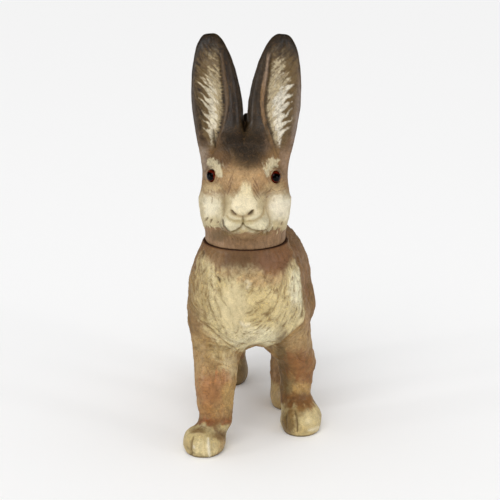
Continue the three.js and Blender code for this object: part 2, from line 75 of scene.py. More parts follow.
class Side(Enum):
    """One side of the hare, seen from itself."""

    LEFT = 1
    RIGHT = -1


class Slot(Enum):
    """A material slot of the record."""

    MOULDING = "painted_moulding"
    CARD = "card"
    PAPER = "lining_paper"
    GLASS = "eye_glass"
    PUPIL = "eye_pupil"
    PUTTY = "putty"


def pigment(code: str) -> Array:
    """A paint's linear colour, from six hexadecimal digits."""
    shown = np.array([int(code[n : n + 2], 16) / 255 for n in (0, 2, 4)])
    return np.where(shown <= 0.04045, shown / 12.92, ((shown + 0.055) / 1.055) ** 2.4)


def ramp(value: Array, start: float | Array, end: float | Array) -> Array:
    """Rises smoothly from 0 where value is start to 1 where it is end, which may be the lower."""
    t = np.clip((value - start) / (end - start), 0, 1)
    return t * t * (3 - 2 * t)


def blend(under: Array, over: Array, cover: Array) -> Array:
    """Lays one colour over others, as far as cover says for each, from 0 to 1."""
    share = np.clip(cover, 0, 1)[:, None]
    return under * (1 - share) + over * share


# Forms: each gives the distance of points from a surface, negative inside


def length(*parts: Array) -> Array:
    """Length of vectors given by their parts."""
    return np.sqrt(sum(part * part for part in parts))


def unit(vectors: Array) -> Array:
    """Vectors of length 1, one row each."""
    return vectors / np.maximum(np.linalg.norm(vectors, axis=1), 1e-6)[:, None]


def ellipsoid(centre: Point, radii: Point) -> Form:
    """An ellipsoid along the axes.

    Args:
        centre: its middle.
        radii: its three half lengths.

    Returns:
        The form.
    """
    (cx, cy, cz), (rx, ry, rz) = centre, radii

    def form(x: Array, y: Array, z: Array) -> Array:
        """Distance from the ellipsoid."""
        near = length((x - cx) / rx, (y - cy) / ry, (z - cz) / rz)
        slope = length((x - cx) / rx**2, (y - cy) / ry**2, (z - cz) / rz**2) + 1e-9
        return near * (near - 1) / slope

    return form


def limb(start: Point, start_radius: float, end: Point, end_radius: float) -> Form:
    """A tapered rod with round ends.

    Args:
        start: middle of the first end.
        start_radius: radius there.
        end: middle of the other end.
        end_radius: radius there.

    Returns:
        The form.
    """
    way = np.subtract(end, start)
    square = float(way @ way)

    def form(x: Array, y: Array, z: Array) -> Array:
        """Distance from the rod."""
        px, py, pz = x - start[0], y - start[1], z - start[2]
        t = np.clip((px * way[0] + py * way[1] + pz * way[2]) / square, 0, 1)
        away = length(px - t * way[0], py - t * way[1], pz - t * way[2])
        return away - (start_radius + (end_radius - start_radius) * t)

    return form


def column(width: float, depth: float, bottom: float, top: float) -> Form:
    """An upright oval column round the neck axis.

    Args:
        width: its size along X.
        depth: its size along Y.
        bottom: its lower end.
        top: its upper end.

    Returns:
        The form.
    """

    def form(x: Array, y: Array, z: Array) -> Array:
        """Distance from the column."""
        side = (length(2 * x / width, 2 * y / depth) - 1) * min(width, depth) / 2
        return np.maximum(side, np.maximum(bottom - z, z - top))

    return form


def joined(width: float, *forms: Form) -> Form:
    """Several forms run into one.

    Args:
        width: how widely they blend.
        forms: the forms.

    Returns:
        The joined form.
    """

    def form(x: Array, y: Array, z: Array) -> Array:
        """Distance from the joined form."""
        result = forms[0](x, y, z)
        for other in forms[1:]:
            value = other(x, y, z)
            share = np.maximum(width - np.abs(result - value), 0) / width
            result = np.minimum(result, value) - share * share * width / 4
        return result

    return form


def carved(width: float, form_in: Form, tool: Form) -> Form:
    """A form with a tool cut out of it, the cut's edge rounded over a width."""
    kept = joined(width, lambda x, y, z: -form_in(x, y, z), tool)
    return lambda x, y, z: -kept(x, y, z)


def within(form_in: Form, centre: Point, reach: float) -> Form:
    """A small form that is only worked out near its place.

    Args:
        form_in: the small form.
        centre: its place.
        reach: how far from there it matters.

    Returns:
        The same form, with a large distance elsewhere.
    """

    def form(x: Array, y: Array, z: Array) -> Array:
        """Distance from the small form."""
        near = length(x - centre[0], y - centre[1], z - centre[2]) < reach
        result = np.full(x.shape, 1e3, x.dtype)
        result[near] = form_in(x[near], y[near], z[near])
        return result

    return form


def slopes(form: Form, points: Array, small: float = 0.05) -> tuple[Array, Array]:
    """Works out a form's distance and slope at points.

    Args:
        form: the form.
        points: one row a point.
        small: the step used to find the slope.

    Returns:
        The distances, and one row of slopes a point.
    """
    here = form(*points.T)
    rows = []
    for axis in range(3):
        moved = points.copy()
        moved[:, axis] += small
        rows.append((form(*moved.T) - here) / small)
    return here, np.stack(rows, 1)


def shelter(form: Form, points: Array, normals: Array, reaches: tuple[float, ...]) -> Array:
    """Tells how far points lie in a crease or under an overhang.

    Args:
        form: what shelters them.
        points: one row a point.
        normals: the surface's normals there.
        reaches: distances at which the surface ahead is looked for.

    Returns:
        0 in the open, up to 1 in a deep crease.
    """
    total = np.zeros(len(points))
    for reach in reaches:
        total += np.clip(1 - form(*(points + normals * reach).T) / reach, 0, 1)
    return total / len(reaches)


class Grain:
    """Smooth random values in space, the same on every run."""

    SIZE = 64

    def __init__(self, seed: int) -> None:
        """Fills the table of random values."""
        self.table = np.random.default_rng(seed).uniform(-1, 1, self.SIZE**3).astype(np.float32)

    def at(self, points: Array, size: float | Array) -> Array:
        """Reads the grain.

        Args:
            points: one row a point.
            size: how large its lumps are.

        Returns:
            Values from about -1 to 1.
        """
        place = points / size + 7.31
        low = np.floor(place)
        part = (place - low).astype(np.float32)
        part = part * part * (3 - 2 * part)
        low = low.astype(np.int64)
        last = self.SIZE - 1
        total = np.zeros(len(points), np.float32)
        for corner in range(8):
            step = [(corner >> axis) & 1 for axis in range(3)]
            x, y, z = [(low[:, axis] + step[axis]) & last for axis in range(3)]
            weight = np.ones(len(points), np.float32)
            for axis in range(3):
                weight *= part[:, axis] if step[axis] else 1 - part[:, axis]
            total += weight * self.table[(x * self.SIZE + y) * self.SIZE + z]
        return total

    def combed(self, points: Array, way: Array, size: float, reach: float, steps: int = 6) -> Array:
        """Reads the grain drawn out into strokes.

        Args:
            points: one row a point.
            way: unit vectors along the strokes, one row a point.
            size: how wide a stroke is.
            reach: how far a stroke runs to each side of a point.
            steps: readings to each side.

        Returns:
            Values with a spread of about 1.
        """
        total = np.zeros(len(points), np.float32)
        for step in np.linspace(-reach, reach, 2 * steps + 1):
            total += self.at(points + way * step, size)
        return total / max(float(total.std()), 1e-6)


@dataclass(frozen=True)
class Bench:
    """Where the hare stands in the frame.

    Args:
        axis: the neck axis in the frame, in metres.
    """

    axis: tuple[float, float]

    @classmethod
    def from_frame(cls) -> "Bench":
        """Finds the neck axis from the card tube in the neck."""
        low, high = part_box("neck_tube")
        return cls(((low.x + high.x) / 2, (low.y + high.y) / 2))

    def placed(self, points: Array) -> Array:
        """Working millimetres into the frame's metres."""
        return points * MM + np.array([self.axis[0], self.axis[1], 0])


@dataclass(frozen=True)
class Viewpoint:
    """The place that the photograph was taken from, in working millimetres.

    Args:
        turn: degrees that the camera stands round from straight ahead.
        tilt: degrees that it looks down.
        height: above the floor.
        distance: level distance to the neck axis.
        aside: how far it stands to its own right.
        focal: focal length in pixels.
    """

    turn: float = 4.5
    tilt: float = 15.0
    height: float = 436.0
    distance: float = 1054.0
    aside: float = 3.5
    focal: float = 1418.0

    def axes(self) -> tuple[Array, Array, Array, Array]:
        """Works out the camera's place and directions.

        Returns:
            Its place, its right, its up and the way that it looks.
        """
        turn, tilt = np.radians(self.turn), np.radians(self.tilt)
        level = np.array([-np.sin(turn), np.cos(turn), 0])
        right = np.array([np.cos(turn), np.sin(turn), 0])
        ahead = level * np.cos(tilt) - np.array([0, 0, np.sin(tilt)])
        place = np.array([0, 0, self.height]) - level * self.distance + right * self.aside
        return place, right, np.cross(right, ahead), ahead

    def pixels(self, points: Array) -> Array:
        """Finds where points show in the photograph.

        Args:
            points: one row a point.

        Returns:
            One row of pixel coordinates a point.
        """
        place, right, up, ahead = self.axes()
        away = points - place
        depth = away @ ahead
        shown = np.stack([away @ right, -(away @ up)], 1)
        return IMAGE / 2 + self.focal * shown / depth[:, None]

    def facing(self, points: Array, normals: Array) -> Array:
        """Tells how much each point faces the photograph, from 0 to 1."""
        toward = self.axes()[0] - points
        toward /= np.linalg.norm(toward, axis=1)[:, None]
        return ramp((toward * normals).sum(1), 0.02, 0.25)


@dataclass(frozen=True)
class Mark:
    """A stroke of the modelling tool or the brush, placed by pixels of the photograph.

    Args:
        path: its way.
        width: half its width, in pixels.
        depth: how deep it is pressed, in millimetres; less than 0 stands proud.
        colour: its paint.
        cover: how much the paint covers, 0 if the stroke isn't painted.
    """

    path: Path
    width: float
    depth: float
    colour: str
    cover: float


@dataclass(frozen=True)
class Spot:
    """A soft round place, by pixels of the photograph.

    Args:
        centre: its middle.
        radii: its half width and half height.
        soft: how much of the radius fades out.
    """

    centre: Pixel
    radii: Pixel
    soft: float = 0.5


@dataclass(frozen=True)
class Patch:
    """A soft round patch of paint, placed by pixels of the photograph.

    Args:
        centre: its middle.
        radii: its half width and half height.
        colour: its paint.
        cover: how much the paint covers.
        soft: how much of the radius fades out.
    """

    centre: Pixel
    radii: Pixel
    colour: str
    cover: float
    soft: float = 0.9


def marks(*rows: tuple) -> tuple[Mark, ...]:
    """Marks from rows of width, depth, colour and cover, then each pixel of the way in turn."""
    return tuple(Mark(tuple(zip(row[4::2], row[5::2])), *row[:4]) for row in rows)


def patches(*rows: tuple) -> tuple[Patch, ...]:
    """Patches from rows of middle, radii, colour, cover and, where it differs, softness."""
    return tuple(Patch(row[:2], row[2:4], *row[4:]) for row in rows)


class Canvas:
    """The outside of a moulding while it is carved and painted."""

    def __init__(self, points: Array, normals: Array, view: Viewpoint, ground: str, seed: int) -> None:
        """Lays the ground colour.

        Args:
            points: one row a point.
            normals: the surface's normals.
            view: where the photograph was taken from.
            ground: the colour to start with.
            seed: of the unevenness of edges.
        """
        self.points, self.normals = points, normals
        self.shown = view.facing(points, normals)
        ways = [Grain(seed + n).at(points, 2.6) + Grain(seed + n + 2).at(points, 1.2) for n in (0, 1)]
        wobble = np.stack(ways, 1)
        self.true = view.pixels(points)
        self.place = self.true + 0.9 * wobble
        self.coat = np.tile(pigment(ground), (len(points), 1))
        self.height = np.zeros(len(points))
        self.strokes = np.zeros(len(points))
        self.broken = 0.4

    def lay(self, colour: str, cover: Array) -> None:
        """Lays a colour where cover says."""
        self.coat = blend(self.coat, pigment(colour), cover)

    def tone(self, factor: float, cover: Array) -> None:
        """Lightens or darkens where cover says."""
        self.coat = blend(self.coat, np.clip(self.coat * factor, 0, 0.9), cover)

    def brushed(self, cover: Array, amount: float = 1.0) -> Array:
        """Breaks the soft edge of a cover up into brush strokes."""
        return np.clip(cover + 4 * amount * self.broken * self.strokes * cover * (1 - cover), 0, 1)

    def brush(self, colour: str, cover: Array, strength: Array | float = 1.0, amount: float = 1.0) -> None:
        """Lays a colour with brushed edges."""
        self.lay(colour, self.brushed(cover, amount) * strength)

    def wash(self, spots: tuple[Patch, ...], where: Array | float = 1.0) -> None:
        """Paints soft patches, where that says."""
        for each in spots:
            cover = self.brushed(self.blob(each))
            self.lay(each.colour, cover * each.cover * where)

    def blob(self, spot: Spot | Patch) -> Array:
        """Tells how much each point lies in a soft round place."""
        across, up = ((self.place[:, n] - spot.centre[n]) / spot.radii[n] for n in (0, 1))
        return self.shown * ramp(length(across, up), 1 + spot.soft / 2, 1 - spot.soft / 2)

    def stroke(self, path: Path, width: float, sure: bool = True) -> Array:
        """How much each point lies on a stroke.

        Args:
            path: the stroke's way, in pixels.
            width: half its width in its middle.
            sure: whether its edges are clean.

        Returns:
            One value a point, from 0 to 1.
        """
        place = self.true if sure else self.place
        way = np.array(path, float)
        near = np.all((place > way.min(0) - 3 * width) & (place < way.max(0) + 3 * width), axis=1)
        near = np.nonzero(near & (self.shown > 0))[0]
        result = np.zeros(len(place))
        if not len(near):
            return result
        spans = np.linalg.norm(np.diff(way, axis=0), axis=1)
        best = np.full(len(near), 1e9)
        along = np.zeros(len(near))
        for n, (start, end) in enumerate(zip(way, way[1:])):
            t = np.clip((place[near] - start) @ (end - start) / max(spans[n] ** 2, 1e-9), 0, 1)
            away = np.linalg.norm(place[near] - start - t[:, None] * (end - start), axis=1)
            closer = away < best
            best[closer] = away[closer]
            along[closer] = ((spans[:n].sum() + t * spans[n]) / spans.sum())[closer]
        taper = 0.35 + 0.65 * np.sin(np.pi * along) ** 0.6
        result[near] = np.exp(-((best / (width * taper)) ** 2)) * self.shown[near]
        return result

    def mark(self, marks: tuple[Mark, ...]) -> None:
        """Presses and paints strokes."""
        for each in marks:
            cover = self.stroke(each.path, each.width)
            self.height -= each.depth * cover
            if each.cover:
                self.lay(each.colour, cover * each.cover)


# Moulded shells


def spaced(stops: tuple[float, ...], cell: float, doubled: tuple[float, ...]) -> Array:
    """Lays out grid planes.

    Args:
        stops: places that have a plane, in order.
        cell: the least distance wanted between planes.
        doubled: the stops with two planes, so that a cut there is flat and sharp.

    Returns:
        The planes' places.
    """
    planes = [stops[0]]
    for start, end in zip(stops, stops[1:]):
        count = max(1, round((end - start) / cell))
        planes += [start + (end - start) * n / count for n in range(1, count + 1)]
    return np.sort(np.array(planes + [stop for stop in stops if stop in doubled]))


@dataclass
class Shell:
    """A moulding's surface, with one vertex in each grid cell that the surface crosses.

    Args:
        form: the moulding, as a form.
        planes: the grid's planes along X, Y and Z.
        part_axis: the axis across which the two halves are parted.
        part_at: where they are parted.
        band: distance from the surface within which the form is worked out in full.
    """

    form: Form
    planes: tuple[Array, Array, Array]
    part_axis: int
    part_at: float
    band: float
    points: Array = field(init=False)
    flat: Array = field(init=False)
    capped: Array = field(init=False)
    halves: tuple[Array, Array] = field(init=False)

    COARSE = 4
    FAINT = 1e-6

    def values(self) -> Array:
        """Works out the form on the grid, in full only near the surface.

        Returns:
            The distance at each grid point, with the outermost planes outside.
        """
        x, y, z = [p.astype(np.float32) for p in self.planes]
        step = self.COARSE
        coarse_axes = [np.append(p[::step], p[-1:]) for p in (x, y, z)]
        grid = np.meshgrid(*coarse_axes, indexing="ij")
        coarse = self.form(*[g.ravel() for g in grid]).reshape(grid[0].shape)
        low = np.full([n - 1 for n in coarse.shape], np.inf, np.float32)
        for corner in range(8):
            part = [slice(s, n - 1 + s) for s, n in zip([(corner >> a) & 1 for a in range(3)], coarse.shape)]
            low = np.minimum(low, np.abs(coarse[tuple(part)]))
        wide = low < self.band
        shape = (len(x), len(y), len(z))

        def fine(block: Array) -> Array:
            """Spreads a value for each block over its grid points."""
            for axis in range(3):
                block = np.repeat(block, step, axis)
            return block[: shape[0], : shape[1], : shape[2]]

        value = fine(coarse[:-1, :-1, :-1]).copy()
        near = fine(wide)
        i, j, k = np.nonzero(near)
        value[i, j, k] = self.form(x[i], y[j], z[k])
        for axis in range(3):
            ends = [slice(None)] * 3
            ends[axis] = [0, -1]
            value[tuple(ends)] = self.band
        return value

    def build(self) -> None:
        """Makes the surface and parts it into two closed halves."""
        value = self.values()
        inside = value < 0
        shape = value.shape
        axis_p = self.part_axis
        middle = int(np.searchsorted(self.planes[axis_p], self.part_at))
        rings, places, weights, sides = [], [], [], []

        def ring(index: list[Array], axis: int, outward: Array) -> Array:
            """The four cells round grid edges, in turning order."""
            u, v = (axis + 1) % 3, (axis + 2) % 3
            cells = []
            for du, dv in ((-1, -1), (0, -1), (0, 0), (-1, 0)):
                at = [n.copy() for n in index]
                at[u] += du
                at[v] += dv
                cells.append((at[0] * shape[1] + at[1]) * shape[2] + at[2])
            turned = np.stack(cells, 1)
            return np.where(outward[:, None], turned, turned[:, ::-1])

        for axis in range(3):
            start = [slice(None)] * 3
            end = [slice(None)] * 3
            start[axis], end[axis] = slice(None, -1), slice(1, None)
            index = list(np.nonzero(inside[tuple(start)] != inside[tuple(end)]))
            far = [n.copy() for n in index]
            far[axis] += 1
            a, b = value[tuple(index)], value[tuple(far)]
            t = (a / (a - b)).astype(float)
            at = np.stack([self.planes[n][index[n]] for n in range(3)], 1)
            step = self.planes[axis][far[axis]] - self.planes[axis][index[axis]]
            at[:, axis] += t * step
            rings.append(ring(index, axis, inside[tuple(index)]))
            places.append(at)
            weights.append(np.where(step > 0, 1.0, self.FAINT))
            sides.append(index[axis_p] > middle)

        # The halves' flat faces, where they are parted
        u, v = [n for n in range(3) if n != axis_p]
        at_plane = [slice(None)] * 3
        at_plane[axis_p] = middle
        iu, iv = np.nonzero(inside[tuple(at_plane)])
        for over in (True, False):
            index = [None] * 3
            index[axis_p] = np.full(len(iu), middle)
            index[u], index[v] = iu, iv
            rings.append(ring(index, axis_p, np.full(len(iu), not over)))
            places.append(np.stack([self.planes[n][index[n]] for n in range(3)], 1))
            weights.append(np.full(len(iu), self.FAINT))
            sides.append(np.full(len(iu), over))

        rings, places = np.concatenate(rings), np.concatenate(places)
        weights, sides = np.concatenate(weights), np.concatenate(sides)
        cells, corner = np.unique(rings, return_inverse=True)
        corner = corner.reshape(rings.shape)
        share = np.bincount(corner.ravel(), np.repeat(weights, 4))
        self.points = np.stack(
            [np.bincount(corner.ravel(), np.repeat(weights * places[:, n], 4)) / share for n in range(3)], 1
        )
        cell_at = np.unravel_index(cells, shape)
        self.flat = np.stack(
            [self.planes[n][cell_at[n] + 1] - self.planes[n][cell_at[n]] < 1e-9 for n in range(3)], 1
        )
        self.capped = share < 0.5
        self.halves = (corner[sides], corner[~sides])
        self.settle()

    def settle(self) -> None:
        """Moves the points onto the form, leaving those on a flat cut in it."""
        loose = np.nonzero(~self.capped)[0]
        points, held = self.points[loose], self.flat[loose]
        start = points.copy()
        reach = float(np.median(np.diff(self.planes[0]))) / 2
        for _ in range(3):
            here, slope = slopes(self.form, points)
            slope[held] = 0
            square = np.maximum((slope**2).sum(1), 0.05)
            points = points - (here / square)[:, None] * slope
            points = np.clip(points, start - reach, start + reach)
        self.points[loose] = points


def carve(shell: Shell, outer: Array, canvas: Canvas) -> None:
    """Moves a shell's outer points by their canvas's height, leaving flat cuts and the floor alone."""
    push = canvas.normals * canvas.height[:, None]
    push[shell.flat[outer]] = 0
    shell.points[outer] = canvas.points + push
    shell.points[:, 2] = np.maximum(shell.points[:, 2], 0)


def coated(outer: Array, joint: Array, canvas: Canvas, gloss: Array | float, fur: Array) -> dict[str, Array]:
    """Spreads a canvas over all the points of its shell.

    Args:
        outer: which points are on the outside.
        joint: which points lie on the joint at the neck.
        canvas: the shell's outside.
        gloss: how glossy the outside is.
        fur: how furred the outside is.

    Returns:
        Layers of values for every point, by name.
    """
    paint = np.tile(pigment(BARE_GESSO), (len(outer), 1))
    paint[joint] = pigment(JOINT_GLUE)
    paint[outer] = canvas.coat
    layers = {"paint": paint, "gloss": np.zeros(len(outer)), "fur": np.zeros(len(outer))}
    layers["gloss"][outer], layers["fur"][outer] = gloss, fur
    return layers


def mesh_piece(name: str, points: Array, faces: Array, layers: dict[str, Array]) -> Piece:
    """Makes a mesh object from the faces of a shell.

    Args:
        name: the piece's name.
        points: all the shell's points, in metres.
        faces: the piece's four-sided faces.
        layers: values for each point, in one column or in colours of three.

    Returns:
        The object, linked to the scene.
    """
    used, corner = np.unique(faces, return_inverse=True)
    corner = corner.reshape(faces.shape)
    mesh = bpy.data.meshes.new(name)
    mesh.vertices.add(len(used))
    mesh.vertices.foreach_set("co", points[used].astype(np.float32).ravel())
    mesh.loops.add(corner.size)
    mesh.loops.foreach_set("vertex_index", corner.astype(np.int32).ravel())
    mesh.polygons.add(len(corner))
    mesh.polygons.foreach_set("loop_start", np.arange(0, corner.size, 4, dtype=np.int32))
    mesh.polygons.foreach_set("use_smooth", np.ones(len(corner), bool))
    for layer, values in layers.items():
        if values.ndim == 2:
            colour = np.ones((len(used), 4), np.float32)
            colour[:, :3] = values[used]
            mesh.color_attributes.new(layer, "FLOAT_COLOR", "POINT").data.foreach_set("color", colour.ravel())
        else:
            data = mesh.attributes.new(layer, "FLOAT", "POINT").data
            data.foreach_set("value", values[used].astype(np.float32))
    mesh.update(calc_edges=True)
    mesh.validate()
    mesh.set_sharp_from_angle(angle=np.radians(SHARP))
    piece = bpy.data.objects.new(name, mesh)
    bpy.context.scene.collection.objects.link(piece)
    return piece


# Finishes


class Graph:
    """Builds one material's nodes."""

    def __init__(self, name: str) -> None:
        """Starts a material with a shader and its output."""
        self.material = bpy.data.materials.new(name)
        self.material.use_nodes = True
        self.tree = self.material.node_tree
        self.shader = self.tree.nodes["Principled BSDF"]

    def node(self, kind: str, settings: dict | None = None, **inputs: object) -> Node:
        """Adds a node.

        Args:
            kind: its type, without the word ShaderNode.
            settings: its own settings.
            inputs: values or sockets for its inputs, by name, with _ for a space.

        Returns:
            The node.
        """
        node = self.tree.nodes.new("ShaderNode" + kind)
        for key, value in (settings or {}).items():
            setattr(node, key, value)
        for key, value in inputs.items():
            self.put(node, key.replace("_", " "), value)
        return node

    def put(self, node: Node, key: str | int, value: object) -> None:
        """Sets or links one input of a node."""
        socket = node.inputs[key]
        if isinstance(value, Socket):
            self.tree.links.new(value, socket)
        else:
            socket.default_value = value

    def shade(self, **inputs: object) -> None:
        """Sets or links inputs of the shader."""
        for key, value in inputs.items():
            self.put(self.shader, key.replace("_", " "), value)

    def noise(self, scale: float, detail: float = 3.0, roughness: float = 0.55) -> Socket:
        """Adds an even noise in the object's own metres.

        Args:
            scale: lumps to a metre.
            detail: layers of finer noise.
            roughness: how strong the finer layers are.

        Returns:
            The noise's value.
        """
        place = self.node("TexCoord").outputs["Object"]
        noise = self.node("TexNoise", None, Vector=place, Scale=scale, Detail=detail, Roughness=roughness)
        return noise.outputs["Fac"]

    def sum(self, operation: str, a: object, b: object) -> Socket:
        """Works out one value from two by a named operation."""
        node = self.node("Math", {"operation": operation})
        self.put(node, 0, a)
        self.put(node, 1, b)
        return node.outputs[0]

    def curls(self, scale: float, aside: float, width: float) -> Socket:
        """Draws thin curling lines all over.

        Args:
            scale: curls to a metre.
            aside: how far from the middle of a curl's line these lines lie.
            width: how wide they are, in the same measure.

        Returns:
            1 on the lines, 0 away from them.
        """
        place = self.node("TexCoord").outputs["Object"]
        noise = self.node(
            "TexNoise", None, Vector=place, Scale=scale, Detail=2.0, Roughness=0.6, Distortion=1.3
        )
        away = self.sum("ABSOLUTE", self.sum("SUBTRACT", noise.outputs["Fac"], 0.5 + aside), 0.0)
        return self.between(away, 0.0, width, (1.0, 0.0))

    def between(self, value: Socket, low: float, high: float, to: Pixel) -> Socket:
        """Maps a value from one span to another.

        Args:
            value: the value.
            low: where the first span starts.
            high: where it ends.
            to: the span that it is mapped to.

        Returns:
            The mapped value.
        """
        spans = {"From_Min": low, "From_Max": high, "To_Min": to[0], "To_Max": to[1]}
        node = self.node("MapRange", None, Value=value, **spans)
        return node.outputs["Result"]

    def mixed(self, share: object, a: object, b: object, kind: str = "MIX") -> Socket:
        """Mixes two colours.

        Args:
            share: how much of the second.
            a: the first colour.
            b: the second colour.
            kind: how they mix.

        Returns:
            The mixed colour.
        """
        node = self.node("Mix", {"data_type": "RGBA", "blend_type": kind})
        self.put(node, 0, share)
        self.put(node, 6, a)
        self.put(node, 7, b)
        return node.outputs[2]

    def bumped(self, *layers: tuple[Socket, float]) -> Socket:
        """Stacks bumps.

        Args:
            layers: each a height and how many metres it stands for.

        Returns:
            The normal.
        """
        normal = None
        for height, depth in layers:
            node = self.node("Bump", None, Height=height, Distance=depth, Strength=1.0)
            if normal is not None:
                self.put(node, "Normal", normal)
            normal = node.outputs["Normal"]
        return normal


@dataclass(frozen=True)
class PaintedGesso:
    """Oil paint over gesso, as on the mouldings.

    Args:
        dull: roughness where the paint is matt.
        sheen_spread: how much the roughness varies.
        grain: depth of the paint's own grain, in metres.
        curl_scale: curls of the tooled fur to a metre.
        curl_width: how wide a tooled line is, as a share of the curls' own noise.
        curl_depth: how deep it is, in metres.
        patina: the dark glaze that lies in the tooled lines.
        wear_and_highlight: the paler paint on the ridges beside them, partly wear and partly a painted
            highlight that makes the tooled lines look embossed.
        glaze: how much of the patina and of the paler ridge paint shows.
        specular: how much light the paint throws back.
    """

    dull: float = 0.62
    sheen_spread: float = 0.16
    grain: float = 0.00012
    curl_scale: float = 210.0
    curl_width: float = 0.03
    curl_depth: float = 0.0002
    patina: str = "74502a"
    wear_and_highlight: str = "e2d6b4"
    glaze: float = 0.5
    specular: float = 0.16

    def material(self) -> Material:
        """Builds the material.

        Returns:
            The material, which reads the points' paint and gloss.
        """
        graph = Graph("painted_gesso")
        paint = graph.node("Attribute", {"attribute_name": "paint"}).outputs["Color"]
        gloss = graph.node("Attribute", {"attribute_name": "gloss"}).outputs["Fac"]
        fine = graph.noise(1400, 4, 0.6)
        broad = graph.noise(160, 4, 0.6)
        dark = graph.between(fine, 0.3, 0.7, (0.82, 1.13))
        cloud = graph.between(broad, 0.3, 0.7, (0.88, 1.1))
        tone = graph.sum("MULTIPLY", dark, cloud)
        grey = graph.node("CombineColor", None, Red=tone, Green=tone, Blue=tone)
        colour = graph.mixed(1.0, paint, grey.outputs[0], "MULTIPLY")
        fur = graph.node("Attribute", {"attribute_name": "fur"}).outputs["Fac"]
        grooves = graph.sum("MULTIPLY", fur, graph.curls(self.curl_scale, 0.0, self.curl_width))
        # Paler paint beside the tooled lines: partly wear, partly a painted highlight that makes them look
        # embossed.
        beside = graph.curls(self.curl_scale, 1.6 * self.curl_width, self.curl_width)
        ridges = graph.sum("MULTIPLY", fur, beside)
        wear_and_highlight = (*pigment(self.wear_and_highlight), 1.0)
        colour = graph.mixed(graph.sum("MULTIPLY", ridges, self.glaze), colour, wear_and_highlight, "OVERLAY")
        patina = (*pigment(self.patina), 1.0)
        colour = graph.mixed(graph.sum("MULTIPLY", grooves, self.glaze), colour, patina)
        half = self.sheen_spread / 2
        shine = graph.between(broad, 0.3, 0.7, (self.dull + half, self.dull - half))
        graph.shade(
            Base_Color=colour,
            Roughness=graph.sum("SUBTRACT", shine, gloss),
            Specular_IOR_Level=self.specular,
            Normal=graph.bumped(
                (graph.sum("SUBTRACT", 1.0, grooves), self.curl_depth),
                (graph.noise(700, 3, 0.5), self.grain * 1.5),
                (fine, self.grain),
            ),
        )
        return graph.material


@dataclass(frozen=True)
class BareStock:
    """Unpainted card, paper or putty.

    Args:
        name: the finish's name.
        colour: its own colour.
        stain: the colour of its spots and darker fibres.
        scale: fibres or grains to a metre.
        rough: its roughness.
        relief: depth of the grain in metres.
        specular: how much light it throws back.
    """

    name: str
    colour: str
    stain: str
    scale: float
    rough: float
    relief: float
    specular: float = 0.25

    def material(self) -> Material:
        """Builds the material.

        Returns:
            The material.
        """
        graph = Graph(self.name)
        fine = graph.noise(self.scale, 5, 0.65)
        broad = graph.noise(self.scale / 12, 3, 0.5)
        spots = graph.between(fine, 0.42, 0.7, (0.0, 0.7))
        cloud = graph.between(broad, 0.35, 0.7, (0.0, 0.45))
        base, stain = (*pigment(self.colour), 1.0), (*pigment(self.stain), 1.0)
        colour = graph.mixed(cloud, graph.mixed(spots, base, stain), stain)
        graph.shade(
            Base_Color=colour,
            Roughness=graph.between(fine, 0.3, 0.7, (self.rough - 0.06, self.rough + 0.06)),
            Specular_IOR_Level=self.specular,
            Normal=graph.bumped((fine, self.relief)),
        )
        return graph.material


def ride(piece: Piece, body: str, slot: Slot, *nodes: str) -> None:
    """Hands a piece to the body that it moves with.

    Args:
        piece: the piece.
        body: the body's name.
        slot: the record's slot for its finish; not used.
        nodes: the frame's nodes that it stands for.
    """
    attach(piece, body)
    if nodes:
        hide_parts(*nodes)
    log.info("%s rides on %s, %d faces", piece.name, body, len(piece.data.polygons))


# Trunk, neck and legs


@dataclass(frozen=True)
class Foot:
    """Where a foot stands.

    Args:
        x: aside from the neck axis.
        y: behind the neck axis.
        splay: how far the paw turns out.
        flatter: how much lower the paw is than the others.
        stout: how much thicker the leg is, at the knee.
    """

    x: float
    y: float
    splay: float
    flatter: float = 0.0
    stout: float = 0.0


